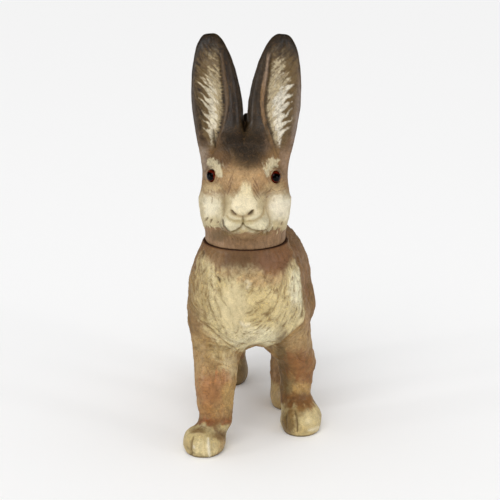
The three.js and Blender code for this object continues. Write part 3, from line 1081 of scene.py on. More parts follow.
@dataclass
class Body:
    """The body moulding: trunk, neck, legs and tail, in a left and a right half."""

    seam: float = 162.0
    clearance: float = 78.0
    chest: Point = (88.0, 88.0, 92.0)
    loin: Point = (86.0, 124.0, 75.0)
    rump: Point = (82.0, 92.0, 80.0)
    setback: float = 100.0
    haunch: Point = (46.0, 74.0, 88.0)
    neck: Pixel = (61.5, 65.0)
    overrun: float = 30.0
    shoulder_width: float = 47.6
    shoulder_shift: float = 3.2
    hip_width: float = 50.0
    upper_leg: float = 46.0
    knee: float = 26.0
    ankle: float = 25.0
    knee_height: float = 56.0
    ankle_height: float = 24.0
    paw: Point = (33.0, 42.0, 26.0)
    paw_reach: float = 7.0
    hock_back: float = 9.0
    tail_width: float = 18.0
    tail_length: float = 30.0
    wall: float = 4.0
    collar_depth: float = 14.0
    tube_radius: float = 24.0
    fit: float = 0.3
    trunk_blend: float = 14.0
    haunch_blend: float = 9.8
    front_left: Foot = Foot(38.5, 27.0, 4.5)
    front_right: Foot = Foot(-22.0, -21.0, -8.0, 7.0, 1.6)
    hind_left: Foot = Foot(27.0, 82.0, 4.0)
    hind_right: Foot = Foot(-24.0, 136.0, -1.0)
    cell: float = 0.85
    grid_across: Point = (-58, 0, 68)
    grid_along: Pixel = (-60, 168)
    band: float = 9.0
    outer_depth: float = 1.2
    form: Form = field(init=False)
    skin: Form = field(init=False)

    def __post_init__(self) -> None:
        """Works out the forms."""
        self.skin = self.outside()
        self.form = self.hollowed()

    def barrel(self) -> Form:
        """The trunk without neck or legs."""
        low = self.clearance
        return joined(
            self.trunk_blend,
            *[
                ellipsoid((0, back, low + size[2] / 2), tuple(n / 2 for n in size))
                for size, back in ((self.chest, 0), (self.loin, self.setback / 2), (self.rump, self.setback))
            ],
        )

    def paw_form(self, foot: Foot) -> Form:
        """One paw."""
        width, depth, height = self.paw
        height -= foot.flatter
        centre = (foot.x + foot.splay, foot.y - self.paw_reach, height / 3)
        return ellipsoid(centre, (width / 2, depth / 2, 2 * height / 3))

    def front_leg(self, foot: Foot) -> Form:
        """A front leg with its paw."""
        side = np.sign(foot.x)
        aside = side * self.shoulder_width / 2 + self.shoulder_shift
        shoulder = (aside, foot.y / 4, self.clearance + 0.4 * self.upper_leg)
        knee = (foot.x, foot.y, self.knee_height)
        ankle = (foot.x, foot.y, self.ankle_height)
        return joined(
            self.paw_reach,
            limb(shoulder, self.upper_leg / 2, knee, self.knee / 2 + foot.stout),
            limb(knee, self.knee / 2 + foot.stout, ankle, (self.ankle + foot.stout) / 2),
            self.paw_form(foot),
        )

    def hind_leg(self, foot: Foot) -> Form:
        """A hind leg with its paw."""
        side = np.sign(foot.x)
        thigh = (side * self.hip_width / 2, (self.setback + foot.y) / 2, self.clearance)
        hock = (foot.x, foot.y + self.hock_back, self.knee_height)
        ankle = (foot.x, foot.y, self.ankle_height)
        return joined(
            self.paw_reach,
            limb(thigh, self.upper_leg / 2, hock, self.ankle / 2),
            limb(hock, self.ankle / 2, ankle, self.ankle / 2),
            self.paw_form(foot),
        )

    def outside(self) -> Form:
        """The whole outer form, before it is cut level."""
        half = self.tail_width / 2
        root = (0, self.setback + self.rump[1] / 2 - half, self.clearance + self.rump[2] / 2)
        tip = (0, self.setback + self.rump[1] / 2 + half / 2, root[2] + self.tail_length - self.tail_width)
        low = self.clearance + self.haunch[2] / 8
        haunches = [
            ellipsoid((side * self.hip_width / 2, self.setback, low), tuple(n / 2 for n in self.haunch))
            for side in (1, -1)
        ]
        trunk = joined(
            self.trunk_blend,
            self.barrel(),
            column(*self.neck, self.seam - self.overrun, self.seam + self.overrun),
        )
        legs = [self.front_leg(self.front_left), self.front_leg(self.front_right)]
        legs += [self.hind_leg(self.hind_left), self.hind_leg(self.hind_right)]
        trunk = joined(self.haunch_blend, trunk, *haunches)
        return joined(self.trunk_blend, trunk, *legs, limb(root, half, tip, half))

    def hollowed(self) -> Form:
        """The moulding with its hollow and the bore for the card tube."""
        barrel = self.barrel()
        collar = self.seam - self.collar_depth
        back = self.neck[1] / 2 + self.wall
        bore = self.tube_radius + self.fit

        def form(x: Array, y: Array, z: Array) -> Array:
            """Distance from the hollow moulding."""
            hollow = np.maximum(barrel(x, y, z) + self.wall, np.minimum(z - collar, back - y))
            tube = np.maximum(length(x, y) - bore, self.clearance + self.wall * 4 - z)
            return np.maximum(self.skin(x, y, z), -np.minimum(hollow, tube))

        return form

    def build(self, bench: Bench, view: Viewpoint, finish: Material) -> None:
        """Makes both halves of the moulding.

        Args:
            bench: where the hare stands.
            view: where the photograph was taken from.
            finish: the painted finish.
        """
        planes = (
            spaced(self.grid_across, self.cell, (0,)),
            spaced(self.grid_along, self.cell, ()),
            spaced((0, self.seam), self.cell, (0, self.seam)),
        )
        shell = Shell(self.form, planes, 0, 0, self.band)
        shell.build()
        layers = BodyCoat(self, view).lay(shell, self.skin(*shell.points.T) > -self.outer_depth)
        for side, faces in zip(("left", "right"), shell.halves):
            piece = mesh_piece("body_moulding_" + side, bench.placed(shell.points), faces, layers)
            piece.data.materials.append(finish)
            ride(piece, "body", Slot.MOULDING, "body_half_" + side)


BODY_TOOL = marks(
    (1.2, 1.2, "54422a", 0.85, 203.2, 250, 203.6, 254, 203, 257.2),
    (1.1, 1.3, "43301c", 0.9, 217, 276.6, 218.6, 279.4, 219.8, 282.4),
    (0.8, 0.8, "6d4a26", 0.75, 292.8, 276, 291.6, 280.6),
    (1.5, -0.9, "5a4128", 0, 203.6, 262, 206.6, 275, 209, 285),
    (1.3, 0.9, "7d6a42", 0.6, 206, 297, 209.4, 306, 213.4, 315),
    (1.3, 0.8, "8a764c", 0.5, 214.6, 299, 219, 309, 221, 318),
    (1, 0.7, "7d6a42", 0.55, 220, 289, 221.4, 299, 226.6, 306),
    (1.6, -1, "5a4128", 0, 297.8, 257, 300, 268, 304, 282),
    (1.2, 0.8, "7c6038", 0.6, 307, 283, 309.4, 292, 307.4, 301),
    (2.6, -1.1, "ddceaa", 0.8, 245, 282.4, 247.4, 281.4, 249.2, 284.4, 246.4, 288.6),
    (2.2, -1.3, "ddd0b0", 0.85, 240, 321.4, 244, 325, 250, 323.6),
    (1, 0.7, "7a6334", 0.7, 245, 313.6, 249.4, 313.2, 252.8, 310.8),
    (1.3, -1, "d9c594", 0.7, 252.4, 305.6, 254.8, 303.4),
    (0.9, 0.5, "a58b55", 0.5, 247, 298, 251, 290, 253.4, 283.6),
    (1.1, 0.9, "8c7145", 0.65, 196.6, 318, 206, 326, 216, 335, 228, 344, 236, 348.6),
    (0.9, 0.5, "ab9562", 0.45, 198, 313.6, 208, 322.4, 219, 331.6, 231, 341),
    (1.2, -0.5, "d6c798", 0.5, 236, 349.6, 246, 352, 256, 350.4, 267, 348.4),
    (1.2, 0.8, "8e7044", 0.6, 268.6, 348.6, 280, 343.6, 291, 335, 301, 325),
    (0.9, 0.6, "8d5530", 0.7, 206.6, 419.6, 209.4, 425.2, 213.6, 421.6),
    (1.4, -0.6, "96562c", 0.7, 198.8, 424.4, 204, 421, 210.4, 419.6),
    (1.1, -0.6, "9c6236", 0.65, 221.4, 424.6, 226, 420.6, 231, 421.4),
    (1.2, 0.5, "74502f", 0.6, 215, 430.4, 219.4, 432, 223.4, 436.4),
    (1, 0.5, "7b5834", 0.6, 197, 430, 201.4, 426.2, 206.6, 428.4),
    (1.1, 1.2, "6f5a35", 0.75, 193.6, 436, 191.4, 442, 190.6, 449, 191.6, 455.4),
    (1, -0.5, "cbb588", 0.6, 194.6, 433.8, 199.6, 433.2, 205, 436),
    # Raised ridge on the right front paw painted near-white: partly pale paint, partly a painted highlight.
    (1.3, -1.1, "e9dfc6", 0.9, 208, 437.6, 208.2, 446, 209.2, 456.6),
    (0.8, 0.7, "b09b6b", 0.6, 211.2, 438.4, 211.4, 446, 212.4, 456),
    (0.8, 0.5, "b8a478", 0.5, 204.8, 438, 204.6, 446, 205.6, 456.4),
    # Small near-white spot on the right front paw: a painted highlight.
    (0.8, -0.5, "efe6d2", 0.8, 193.4, 445.4, 194.2, 448.6),
    (1.1, 1.1, "634d2d", 0.8, 294.8, 411, 296.6, 417.6, 297.2, 424, 297, 432.4),
    (1, 0.7, "5d482b", 0.5, 286.4, 412, 285, 420, 286.6, 428.6),
    (1.2, 0.4, "967f52", 0.4, 317.6, 411.4, 321, 416.6, 322, 424),
    # Pale stroke on the left front paw: a painted highlight.
    (1.8, -0.4, "e3d8ba", 0.7, 308, 430.4, 313.6, 429.4, 319, 426.4),
    (1.6, -0.6, "c09a64", 0.7, 300, 384, 304.6, 388.6, 310, 391.8),
    (1, -0.5, "bb9a66", 0.6, 292, 383.6, 296.4, 386, 298, 389),
    (0.9, 0.5, "6b4326", 0.5, 295.6, 352.6, 298.6, 358.6, 304.6, 362.4),
    (1.2, 0.6, "8c7549", 0.5, 215.4, 342, 219, 349, 218, 356.6),
    (1.2, 0.6, "8c7549", 0.45, 207, 343, 210.6, 349.6, 214.4, 353.4),
    (1.8, -0.7, "c6b085", 0.6, 213, 357, 218.4, 360, 222.6, 364),
    (1.2, -0.5, "c9ab77", 0.55, 231.6, 389, 234.6, 396, 233.4, 404),
    (1.3, 0.8, "7f643c", 0.55, 228, 408.6, 230, 412, 228.6, 416),
)


GATHER = (-4, -34, 84)  # under the breast, where its fur runs together
CALM = (Spot((234, 306), (16, 24), 0.9), Spot((247, 262), (32, 10), 0.9))
BREAST_FOOT = Spot((248, 335), (52, 17), 0.3)
BIB_MIDDLE, BIB_TOP, BIB_LOW, BIB_LEFT, BIB_RIGHT = 248, 271, 352, 189, 311
BIB_DIP = ((252, 270), (298, 284))  # where the brown band hangs lower, from side to side
BIB_COLLAR = (262, 245)  # the rise over which the bib narrows to the neck
BIB_ARMPIT = (300, 322)  # the fall over which it narrows to the leg
FLANKS = patches(
    (192, 300, 9, 40, "8f7447", 0.75),
    (196, 262, 8, 16, "8d7049", 0.6),
    (312, 300, 8, 44, "ab8b66", 0.85),
    (316, 262, 10, 20, "8f7050", 0.7),
    (303, 250, 9, 8, "987a55", 0.5),
    (192, 325, 8, 14, "80613a", 0.5),
)
NECK_BAND = patches(
    (240, 262, 20, 11, "5c4226", 0.75),
    (276, 262, 20, 15, "7b5133", 0.6),
    (291, 252, 9, 9, "865d3a", 0.5),
    (212, 258, 12, 10, "8a6b42", 0.6),
    (270, 277, 16, 7, "93683f", 0.5),
)
CHEST = patches(
    (228, 305, 24, 28, "c6b488", 0.6),
    (208, 276, 6, 24, "cbbb90", 0.6),
    (200, 300, 9, 34, "9d8450", 0.65),
    (221, 286, 6, 14, "a8935c", 0.5),
    (272, 292, 30, 24, "c2ab76", 0.55),
    (262, 279, 22, 8, "a98156", 0.6),
    (228, 272, 12, 6, "a88a5c", 0.5),
    (262, 314, 20, 10, "b9a36e", 0.5),
    (298, 290, 9, 22, "eadfbe", 0.8),
    (288, 318, 18, 14, "d8c698", 0.6),
    (248, 338, 34, 11, "e6dab6", 0.85),
    (246, 347, 26, 5, "bfae82", 0.4),
    (226, 332, 22, 7, "cbb98a", 0.5),
)
LEG_PATCHES = patches(
    (282, 378, 8, 46, "66502f", 0.8, 0.7),
    (288, 357, 6, 10, "84724e", 0.6),
    (291, 386, 6, 9, "84724e", 0.75),
    (300, 344, 14, 11, "ad8f64", 0.7),
    (301, 364, 16, 14, "83522d", 0.75, 1.3),
    (307, 379, 9, 8, "87562f", 0.6, 1.3),
    (303, 389, 9, 6, "b39058", 0.85),
    (298, 401, 14, 8, "74481f", 0.8),
    (309, 404, 7, 6, "8c6236", 0.6),
    (203, 344, 11, 14, "9c7f50", 0.6),
    (221, 350, 11, 12, "bda878", 0.7),
    (230, 366, 8, 14, "c0ad84", 0.7),
    (205, 366, 10, 14, "a3865a", 0.6),
    (214, 366, 5, 7, "8a6a40", 0.5),
    (212, 390, 15, 19, "96633c", 0.75, 1.3),
    (223, 378, 8, 9, "9c6640", 0.5),
    (229, 396, 7, 14, "b8975f", 0.7),
    (206, 412, 10, 6, "9f7040", 0.6),
    (206, 422, 11, 4.5, "97592f", 0.8),
    (230, 421, 7, 4.5, "9c6438", 0.7),
    (219, 424, 7, 6, "6f4a28", 0.7),
)
PAW_PATCHES = patches(
    (221, 436, 9, 5, "7a5630", 0.75),
    (198, 431, 8, 3.5, "7d5c34", 0.7),
    (225, 447, 6, 9, "a3845a", 0.75),
    (223, 455, 7, 4, "8a6a3f", 0.6),
    (187, 449, 5, 9, "ab9565", 0.6),
    (203, 448, 11, 9, "d3c397", 0.7),
    (288, 423, 8, 13, "745a32", 0.85),
    (300, 412, 9, 5, "8c6f42", 0.6),
    (311, 419, 9, 9, "c9b789", 0.7),
    (303, 430, 10, 4, "b39d6d", 0.5),
)


@dataclass
class BodyCoat:
    """The carved fur and paint of the body.

    Args:
        body: the body.
        view: where the photograph was taken from.
    """

    body: Body
    view: Viewpoint

    def comb(self, points: Array, normals: Array) -> Array:
        """Gives the way that the fur lies.

        Args:
            points: one row a point.
            normals: the surface's normals there.

        Returns:
            Unit vectors along the surface.
        """
        x, y, z = points.T
        wander = Grain(3)
        front = ramp(y, 12, -18)[:, None]
        leg = ramp(z, 90, 74)[:, None]
        right = ramp(x, -2, 9)[:, None]
        collar = ramp(z, 146, 156)[:, None]
        gather = unit(np.array(GATHER) - points)
        slant = np.stack([0.75 * np.ones_like(x), 0 * x, 0.5 + 0.016 * (x - 10) + 0.008 * (z - 115)], 1)
        bib = gather * (1 - right) + slant * right
        bib = bib * (1 - collar) + np.array([0, 0, -1]) * collar
        side = np.stack([0 * x, 0.9 * ramp(z, 110, 150), -0.75 + 0.4 * ramp(y, 20, 90)], 1)
        way = bib * front + side * (1 - front)
        way = way * (1 - leg) + np.array([0, 0, -1]) * leg
        for axis in range(3):
            way[:, axis] += 0.42 * wander.at(points + 40 * axis, 14) + 0.3 * wander.at(points + 70 * axis, 6)
        way -= (way * normals).sum(1)[:, None] * normals
        return unit(way)

    def lay(self, shell: Shell, outer: Array) -> dict[str, Array]:
        """Carves the shell's points and works out their paint.

        Args:
            shell: the moulding's surface, whose points are moved.
            outer: which points are on the outside.

        Returns:
            Layers of paint, gloss and fur for every point.
        """
        points = shell.points[outer]
        _, slope = slopes(self.body.skin, points)
        normals = unit(slope)
        way = self.comb(points, normals)
        z, seam = points[:, 2], self.body.seam
        tuft = np.abs(Grain(11).combed(points, way, 4.0, 10, 7))
        hair = np.abs(Grain(12).combed(points, way, 2.1, 6.5, 7))
        lump = Grain(13).at(points, 15) + 0.6 * Grain(14).at(points, 7)
        mottle = 0.8 * Grain(18).at(points, 5.5) + 0.7 * Grain(19).at(points, 2.4) + 0.5 * lump
        canvas = Canvas(points, normals, self.view, "8c6c46", 25)
        speck = Grain(20).at(points, 1.5)
        canvas.strokes = 0.4 * (tuft - 0.8) + 0.8 * (hair - 0.8) + 0.4 * mottle + 0.6 * speck
        calm = np.maximum(*[canvas.blob(spot) for spot in CALM])
        rough = np.clip(0.75 + 0.5 * Grain(15).at(points, 19), 0.3, 1.2)
        paw = ramp(z, 26, 17)
        leg = ramp(z, 90, 76)
        furred = (1 - 0.6 * leg) * (1 - 0.6 * calm) * rough
        tufted = 0.95 * furred * (np.tanh(1.2 * tuft) - 0.6)
        canvas.height += tufted + 0.5 * furred * (np.tanh(hair * 1.2) - 0.6)
        canvas.height *= 1 - 0.8 * paw
        canvas.height += (0.75 + 0.25 * leg - 0.5 * paw) * lump
        canvas.height += 0.45 * leg * (1 - 0.6 * paw) * mottle
        canvas.height *= ramp(z, seam, seam - 5) * 0.85 + 0.15
        groove = np.tanh(1.25 * (0.62 - 0.62 * tuft - 0.42 * hair))
        self.trunk(canvas, lump)
        self.bib(canvas, groove, calm)
        self.legs(canvas, lump)
        canvas.mark(BODY_TOOL)
        canvas.height -= 0.35 * ramp(z, seam - 1.2, seam) ** 2
        canvas.height[z < 1] *= 0.5
        canvas.lay("634823", ramp(groove, 0.1, 0.9) * (0.42 - 0.25 * calm) * (1 - 0.7 * paw))
        # Ridges of the carved fur made paler: partly wear, partly a painted highlight.
        canvas.tone(1.25, ramp(-groove, 0.1, 0.8) * 0.5)
        canvas.tone(0.75, ramp(mottle + speck, 0.1, 1.3) * (0.4 + 0.4 * leg))
        canvas.lay("57451f", ramp(-mottle, 0.55, 1.3) * (0.25 + 0.3 * leg) * (1 - calm))
        # Painted shade: surfaces that face sideways are darkened, as light falls off towards the sides.
        canvas.tone(0.8, ramp(np.abs(normals[:, 0]), 0.6, 1.0) * 0.4)
        # Painted shade in creases and under overhangs, by how closely the form shuts each point in, with some
        # dark patina there too.
        canvas.lay("33240f", shelter(self.body.skin, points, normals, (2.0, 5.0, 11.0)) * 1.1)
        canvas.lay("3a2a16", ramp(z, 2.4, 0.3) * 0.7)
        canvas.lay("4a2a17", ramp(z, seam - 0.5, seam - 0.1) * 0.8)
        carve(shell, outer, canvas)
        fur = (1 - 0.75 * calm) * (1 - 0.4 * paw) * ramp(mottle, 1.4, 0.0)
        return coated(outer, shell.points[:, 2] > seam - 0.1, canvas, 0.08 + 0.12 * paw, fur)

    def trunk(self, canvas: Canvas, lump: Array) -> None:
        """Paints the back, the sides, the haunches, the belly and the tail.

        Args:
            canvas: the body's outside.
            lump: broad unevenness.
        """
        x, y, z = canvas.points.T
        edge = 5 * Grain(21).at(canvas.points, 8) + 2 * Grain(22).at(canvas.points, 3)
        canvas.brush("a08458", ramp(np.abs(x), 20, 34) * ramp(y, 10, -10), 0.75)
        canvas.brush("a07c56", ramp(lump, -0.1, 0.7), 0.6)
        canvas.brush("7c5f42", ramp(z + edge, 118, 150) * ramp(y, 4, 34), 0.9)
        ridge = ramp(z + edge, 136, 152) * ramp(np.abs(x), 22, 6) * ramp(y, 24, 44)
        canvas.brush("47341f", ridge, 0.85)
        canvas.brush("8f6e48", ramp(z + edge, 116, 96) * ramp(y, 60, 90), 0.6)
        canvas.brush("84552f", ramp(lump, 0.2, 0.8) * ramp(y, 50, 80) * ramp(z, 126, 100), 0.5)
        tail = ramp(y + 0.5 * edge, 141, 147)
        canvas.lay("3e2b1a", tail)
        canvas.brush("d2c299", tail * ramp(z, 126, 115))
        under = ramp(-canvas.normals[:, 2], 0.35, 0.85) * ramp(z, 70, 80)
        canvas.brush("bfab7c", under * ramp(np.abs(x) + 0.5 * edge, 30, 18), 0.85)
        canvas.wash(FLANKS, ramp(y, 30, 10))

    def bib(self, canvas: Canvas, groove: Array, calm: Array) -> None:
        """Paints the brown band under the neck and the pale bib of the chest.

        Args:
            canvas: the body's outside.
            groove: how deep in the carving, from about -1 on ridges to 1.
            calm: where the carving is smoothed over.
        """
        _, y, z = canvas.points.T
        u, v = canvas.place.T
        ahead = ramp(y, 4, -12)
        canvas.brush("7a5736", ramp(z, 134, 144) * ahead, 0.95)
        canvas.wash(NECK_BAND)
        aside = np.abs(u - BIB_MIDDLE)
        dip = ramp(u, *BIB_DIP[0]) * ramp(u, *BIB_DIP[1])
        top = BIB_TOP + 8 * dip - 14 * ramp(aside, 30, 47)
        low = BIB_LOW - 0.0125 * np.clip(aside - 4, 0, 90) ** 2
        collar = ramp(v, *BIB_COLLAR)
        left = BIB_LEFT + 9 * collar + 5 * ramp(v, *BIB_ARMPIT)
        right = BIB_RIGHT - 7 * collar
        bib = canvas.brushed(ramp(v, top - 11, top + 13), 0.6)
        edges = ramp(v, low + 3, low - 5) * ramp(u, left, left + 16) * ramp(u, right, right - 12)
        bib *= canvas.brushed(edges)
        bib *= ramp(y, -2, -8) * canvas.shown
        canvas.lay("cfbd8f", bib)
        canvas.wash(CHEST, bib)
        canvas.lay("d6c79f", bib * calm * 0.4)
        canvas.lay("8b6f3f", bib * ramp(groove, 0.2, 0.7) * (0.75 - 0.55 * calm))

    def legs(self, canvas: Canvas, lump: Array) -> None:
        """Paints the legs and the paws.

        Args:
            canvas: the body's outside.
            lump: broad unevenness.
        """
        x, y, z = canvas.points.T
        body = self.body
        uneven = 5 * Grain(24).at(canvas.points, 4)
        leg = canvas.brushed(ramp(z + 4 * lump, 92, 78)) * (1 - canvas.blob(BREAST_FOOT))
        canvas.lay("ac8b5a", leg * 0.85)
        patch = ramp(Grain(23).at(canvas.points, 12) + 0.5 * lump, 0.1, 0.75)
        unseen = 1 - canvas.shown * ramp(y, 45, 35)
        canvas.brush("956940", leg * patch * unseen, 0.55)
        canvas.brush("c4b080", leg * ramp(-lump, 0.1, 0.7), 0.45)
        canvas.lay("7b5d3a", leg * ramp(y, 60, 80) * ramp(x, -4, 4) * 0.6)
        canvas.wash(LEG_PATCHES, ramp(y, 48, 40))
        paw = ramp(z + uneven, 24, 18)
        canvas.lay("845a32", ramp(z + uneven, 34, 26) * (1 - paw) * 0.45)
        canvas.brush("c6b280", paw)
        for foot, colour in ((body.hind_left, "a68a5c"), (body.hind_right, "7c6440")):
            near = ramp(length(x - foot.x - foot.splay, y - foot.y + body.paw_reach), 30, 24)
            canvas.lay(colour, paw * near * 0.85)
            self.toes(canvas, foot)
        canvas.wash(PAW_PATCHES, ramp(y, 48, 40))

    def toes(self, canvas: Canvas, foot: Foot) -> None:
        """Cuts the grooves between the toes of a paw."""
        x, y, z = canvas.points.T
        ahead = ramp(y, foot.y - self.body.paw_reach + 2, foot.y - self.body.paw_reach - 8)
        away = length(x - foot.x - foot.splay, y - foot.y + self.body.paw_reach)
        near = ramp(away, 30, 24) * ramp(z, 19, 13)
        for aside in (-6.0, 5.0):
            middle = foot.x + foot.splay + aside + 0.8 * Grain(26).at(canvas.points + aside, 5)
            line = np.exp(-(((x - middle) / 1.2) ** 2)) * ahead * near
            canvas.height -= 0.6 * line
            canvas.lay("5f4a28", line * 0.5)


# Head and ears


@dataclass
class Head:
    """The head moulding: skull, muzzle and ears, in a face half and a nape half."""

    rim: float = 162.3
    seam: float = 162.0
    neck: Pixel = (61.5, 65.0)
    overrun: float = 30.0
    crown_rise: float = 79.0
    skull: Point = (62.0, 68.0, 78.0)
    cheek_width: float = 66.5
    cheek: float = 34.0
    cheek_rise: float = 31.0
    muzzle_reach: float = 49.0
    muzzle_width: float = 35.0
    muzzle_height: float = 30.0
    muzzle_rise: float = 26.0
    brow_rise: float = 64.0
    brow_width: float = 42.0
    brow_set: float = 7.0
    head_blend: float = 10.0
    parting: float = 5.5
    muzzle_aside: float = 2.2
    eye_rise: float = 53.0
    eye_spread: float = 45.5
    eye_turn: float = 42.0
    eye_diameter: float = 10.0
    eye_set: float = 1.1
    lid_radius: float = 6.0
    lid_size: float = 0.8
    ear_tip_rise: float = 156.2
    ear_above: float = 52.0
    ear_below: float = 68.0
    ear_width: float = 39.0
    ear_root: float = 20.0
    ear_tip: float = 9.0
    ear_edge: float = 4.2
    ear_dish: float = 5.0
    ear_rim: float = 4.5
    ear_roll: float = 11.0
    ear_spacing: float = 43.4
    ear_set: float = 3.0
    ear_spread: float = 6.5
    ear_back: float = 6.0
    ear_turn: float = 20.0
    wall: float = 4.0
    bore: float = 26.0
    bore_top: float = 186.0
    cell: float = 0.6
    nose: Point = (11.5, 10.5, 8.5)
    nose_rise: float = 9.5
    nose_back: float = 9.5
    pad_right: Point = (8.0, 8.6, 6.6)
    pad_left: Point = (9.6, 9.0, 6.4)
    pad_backs: Pixel = (8.0, 9.0)
    pad_aside: float = 7.6
    pad_drop: float = 3.8
    chin: Point = (10.0, 8.0, 6.4)
    chin_drop: float = 9.0
    chin_back: float = 14.5
    chin_aside: float = 1.0
    web: tuple[Point, Point] = ((0, 7, 74), (0, 9, 94))
    web_radii: Pixel = (5.5, 2.4)
    socket_play: float = 0.15
    grid_across: Pixel = (-46, 46)
    grid_along: Pixel = (-56, 42)
    grid_top: float = 324
    band: float = 8.0
    outer_depth: float = 1.0
    form: Form = field(init=False)
    skin: Form = field(init=False)
    bone: Form = field(init=False)

    def __post_init__(self) -> None:
        """Works out the forms."""
        self.bone = self.skull_form()
        self.skin = self.outside()
        self.form = self.hollowed()

    def skull_form(self) -> Form:
        """The skull with cheeks and muzzle, without ears or lips."""
        seam = self.seam
        cheek = self.cheek / 2
        muzzle = (self.muzzle_aside, self.muzzle_width / 2 - self.muzzle_reach, seam + self.muzzle_rise)
        brow = (0, self.brow_width / 2 - self.skull[1] / 2 + self.brow_set, seam + self.brow_rise)
        bridge = (muzzle[0], self.muzzle_height / 3 - self.muzzle_reach, muzzle[2] + self.muzzle_height / 4)
        return joined(
            self.head_blend,
            ellipsoid(
                (0, self.skull[1] / 35, seam + self.crown_rise - self.skull[2] / 2),
                tuple(n / 2 for n in self.skull),
            ),
            *[
                ellipsoid(
                    (side * (self.cheek_width / 2 - cheek), -cheek / 2, seam + self.cheek_rise),
                    (cheek,) * 3,
                )
                for side in (1, -1)
            ],
            ellipsoid(muzzle, (self.muzzle_width / 2, self.muzzle_width / 2, self.muzzle_height / 2)),
            limb(brow, self.brow_width / 2, bridge, self.muzzle_height / 3),
        )

    def ear_axes(self, side: Side) -> tuple[Array, Array]:
        """Gives an ear's own directions and middle.

        Args:
            side: which ear.

        Returns:
            A matrix whose columns are its width, its depth and its length, and its middle.
        """
        s = side.value
        back, spread, turn = np.radians([-self.ear_back, s * self.ear_spread, s * self.ear_turn])
        about_x = np.array([[1, 0, 0], [0, np.cos(back), -np.sin(back)], [0, np.sin(back), np.cos(back)]])
        about_y = np.array(
            [[np.cos(spread), 0, np.sin(spread)], [0, 1, 0], [-np.sin(spread), 0, np.cos(spread)]]
        )
        about_z = np.array([[np.cos(turn), -np.sin(turn), 0], [np.sin(turn), np.cos(turn), 0], [0, 0, 1]])
        axes = about_x @ about_y @ about_z
        tip = axes @ np.array([0, 0, self.ear_above])
        height = self.seam + self.ear_tip_rise - tip[2]
        return axes, np.array([s * self.ear_spacing / 2, self.ear_set, height])

    def ear_place(self, side: Side, x: Array, y: Array, z: Array) -> tuple[Array, Array, Array]:
        """Gives points in an ear's own directions.

        Args:
            side: which ear.
            x: places along X.
            y: places along Y.
            z: places along Z.

        Returns:
            Places across the ear, through it and along it.
        """
        axes, middle = self.ear_axes(side)
        px, py, pz = x - middle[0], y - middle[1], z - middle[2]
        rows = [axes[0, n] * px + axes[1, n] * py + axes[2, n] * pz for n in range(3)]
        return rows[0], rows[1], rows[2]

    def leaf(self, x: Array, y: Array, z: Array) -> Array:
        """Distance from an ear's plain leaf, in its own directions."""
        edge, power = self.ear_edge, 1.6
        a = self.ear_width / 2 - edge
        c = np.where(z > 0, self.ear_above, self.ear_below) - edge
        t = np.abs(z) / c + 1e-9
        near = length(x / a, t ** (power / 2))
        slope = length(x / a**2, (power / 2) * t ** (power - 1) / c) + 1e-9
        in_plane = near * (near - 1) / slope
        rise = np.clip((z + self.ear_below) / (self.ear_above + self.ear_below), 0, 1)
        through = np.abs(y) - (self.ear_root + (self.ear_tip - self.ear_root) * rise) / 2 + edge
        outside = length(np.maximum(in_plane, 0), np.maximum(through, 0))
        return np.minimum(np.maximum(in_plane, through), 0) + outside - edge

    def ear(self, side: Side) -> Form:
        """An ear with its hollowed front."""
        s = side.value
        half = self.ear_width / 2
        dish_half = half - (self.ear_rim + self.ear_roll) / 2
        front = (self.ear_tip + self.ear_root) / 4
        dish = ellipsoid(
            (s * (half - self.ear_rim - dish_half), self.ear_dish - 2 * self.ear_dish - front, 0),
            (dish_half, 2 * self.ear_dish, self.ear_above - self.ear_roll),
        )
        cut = carved(self.ear_dish, self.leaf, dish)

        def form(x: Array, y: Array, z: Array) -> Array:
            """Distance from the ear."""
            return cut(*self.ear_place(side, x, y, z))

        return form

    def eye_middle(self, side: Side) -> Array:
        """Finds an eye's middle, set in from the front of the face."""
        x, z = side.value * self.eye_spread / 2, self.seam + self.eye_rise
        outside, inside = -self.muzzle_reach, 0.0
        for _ in range(30):
            y = (outside + inside) / 2
            if self.bone(*np.array([[x], [y], [z]]))[0] > -self.eye_set:
                outside = y
            else:
                inside = y
        return np.array([x, inside, z])

    def gaze(self, side: Side) -> Array:
        """The way that an eye looks."""
        turn = np.radians(self.eye_turn)
        return np.array([side.value * np.sin(turn), -np.cos(turn), 0])

    def lid(self, side: Side) -> Form:
        """The raised edge of the lids round an eye."""
        middle, gaze = self.eye_middle(side), self.gaze(side)

        def form(x: Array, y: Array, z: Array) -> Array:
            """Distance from the ring of the lids."""
            px, py, pz = x - middle[0], y - middle[1], z - middle[2]
            along = px * gaze[0] + py * gaze[1]
            away = np.sqrt(np.maximum(px * px + py * py + pz * pz - along * along, 0))
            return length(away - self.lid_radius, along - self.eye_set) - self.lid_size

        return within(form, tuple(middle), 20)

    def snout(self) -> Form:
        """The nose, the two lip pads and the chin."""
        aside, reach, low = self.muzzle_aside, self.muzzle_reach, self.seam + self.muzzle_rise
        tip = (aside, self.nose_back - reach, low + self.nose_rise)
        pads = []
        shifts = (-self.pad_aside, self.pad_aside)
        for shift, back, radii in zip(shifts, self.pad_backs, (self.pad_right, self.pad_left)):
            pad = ellipsoid((aside + shift, back - reach, low - self.pad_drop), radii)
            pads.append(within(pad, (aside + shift, back - reach, low), 32))
        chin = ellipsoid((aside + self.chin_aside, self.chin_back - reach, low - self.chin_drop), self.chin)
        parts = joined(0.8, joined(1.2, *pads), chin)
        return joined(2.4, within(ellipsoid(tip, self.nose), tip, 36), parts)

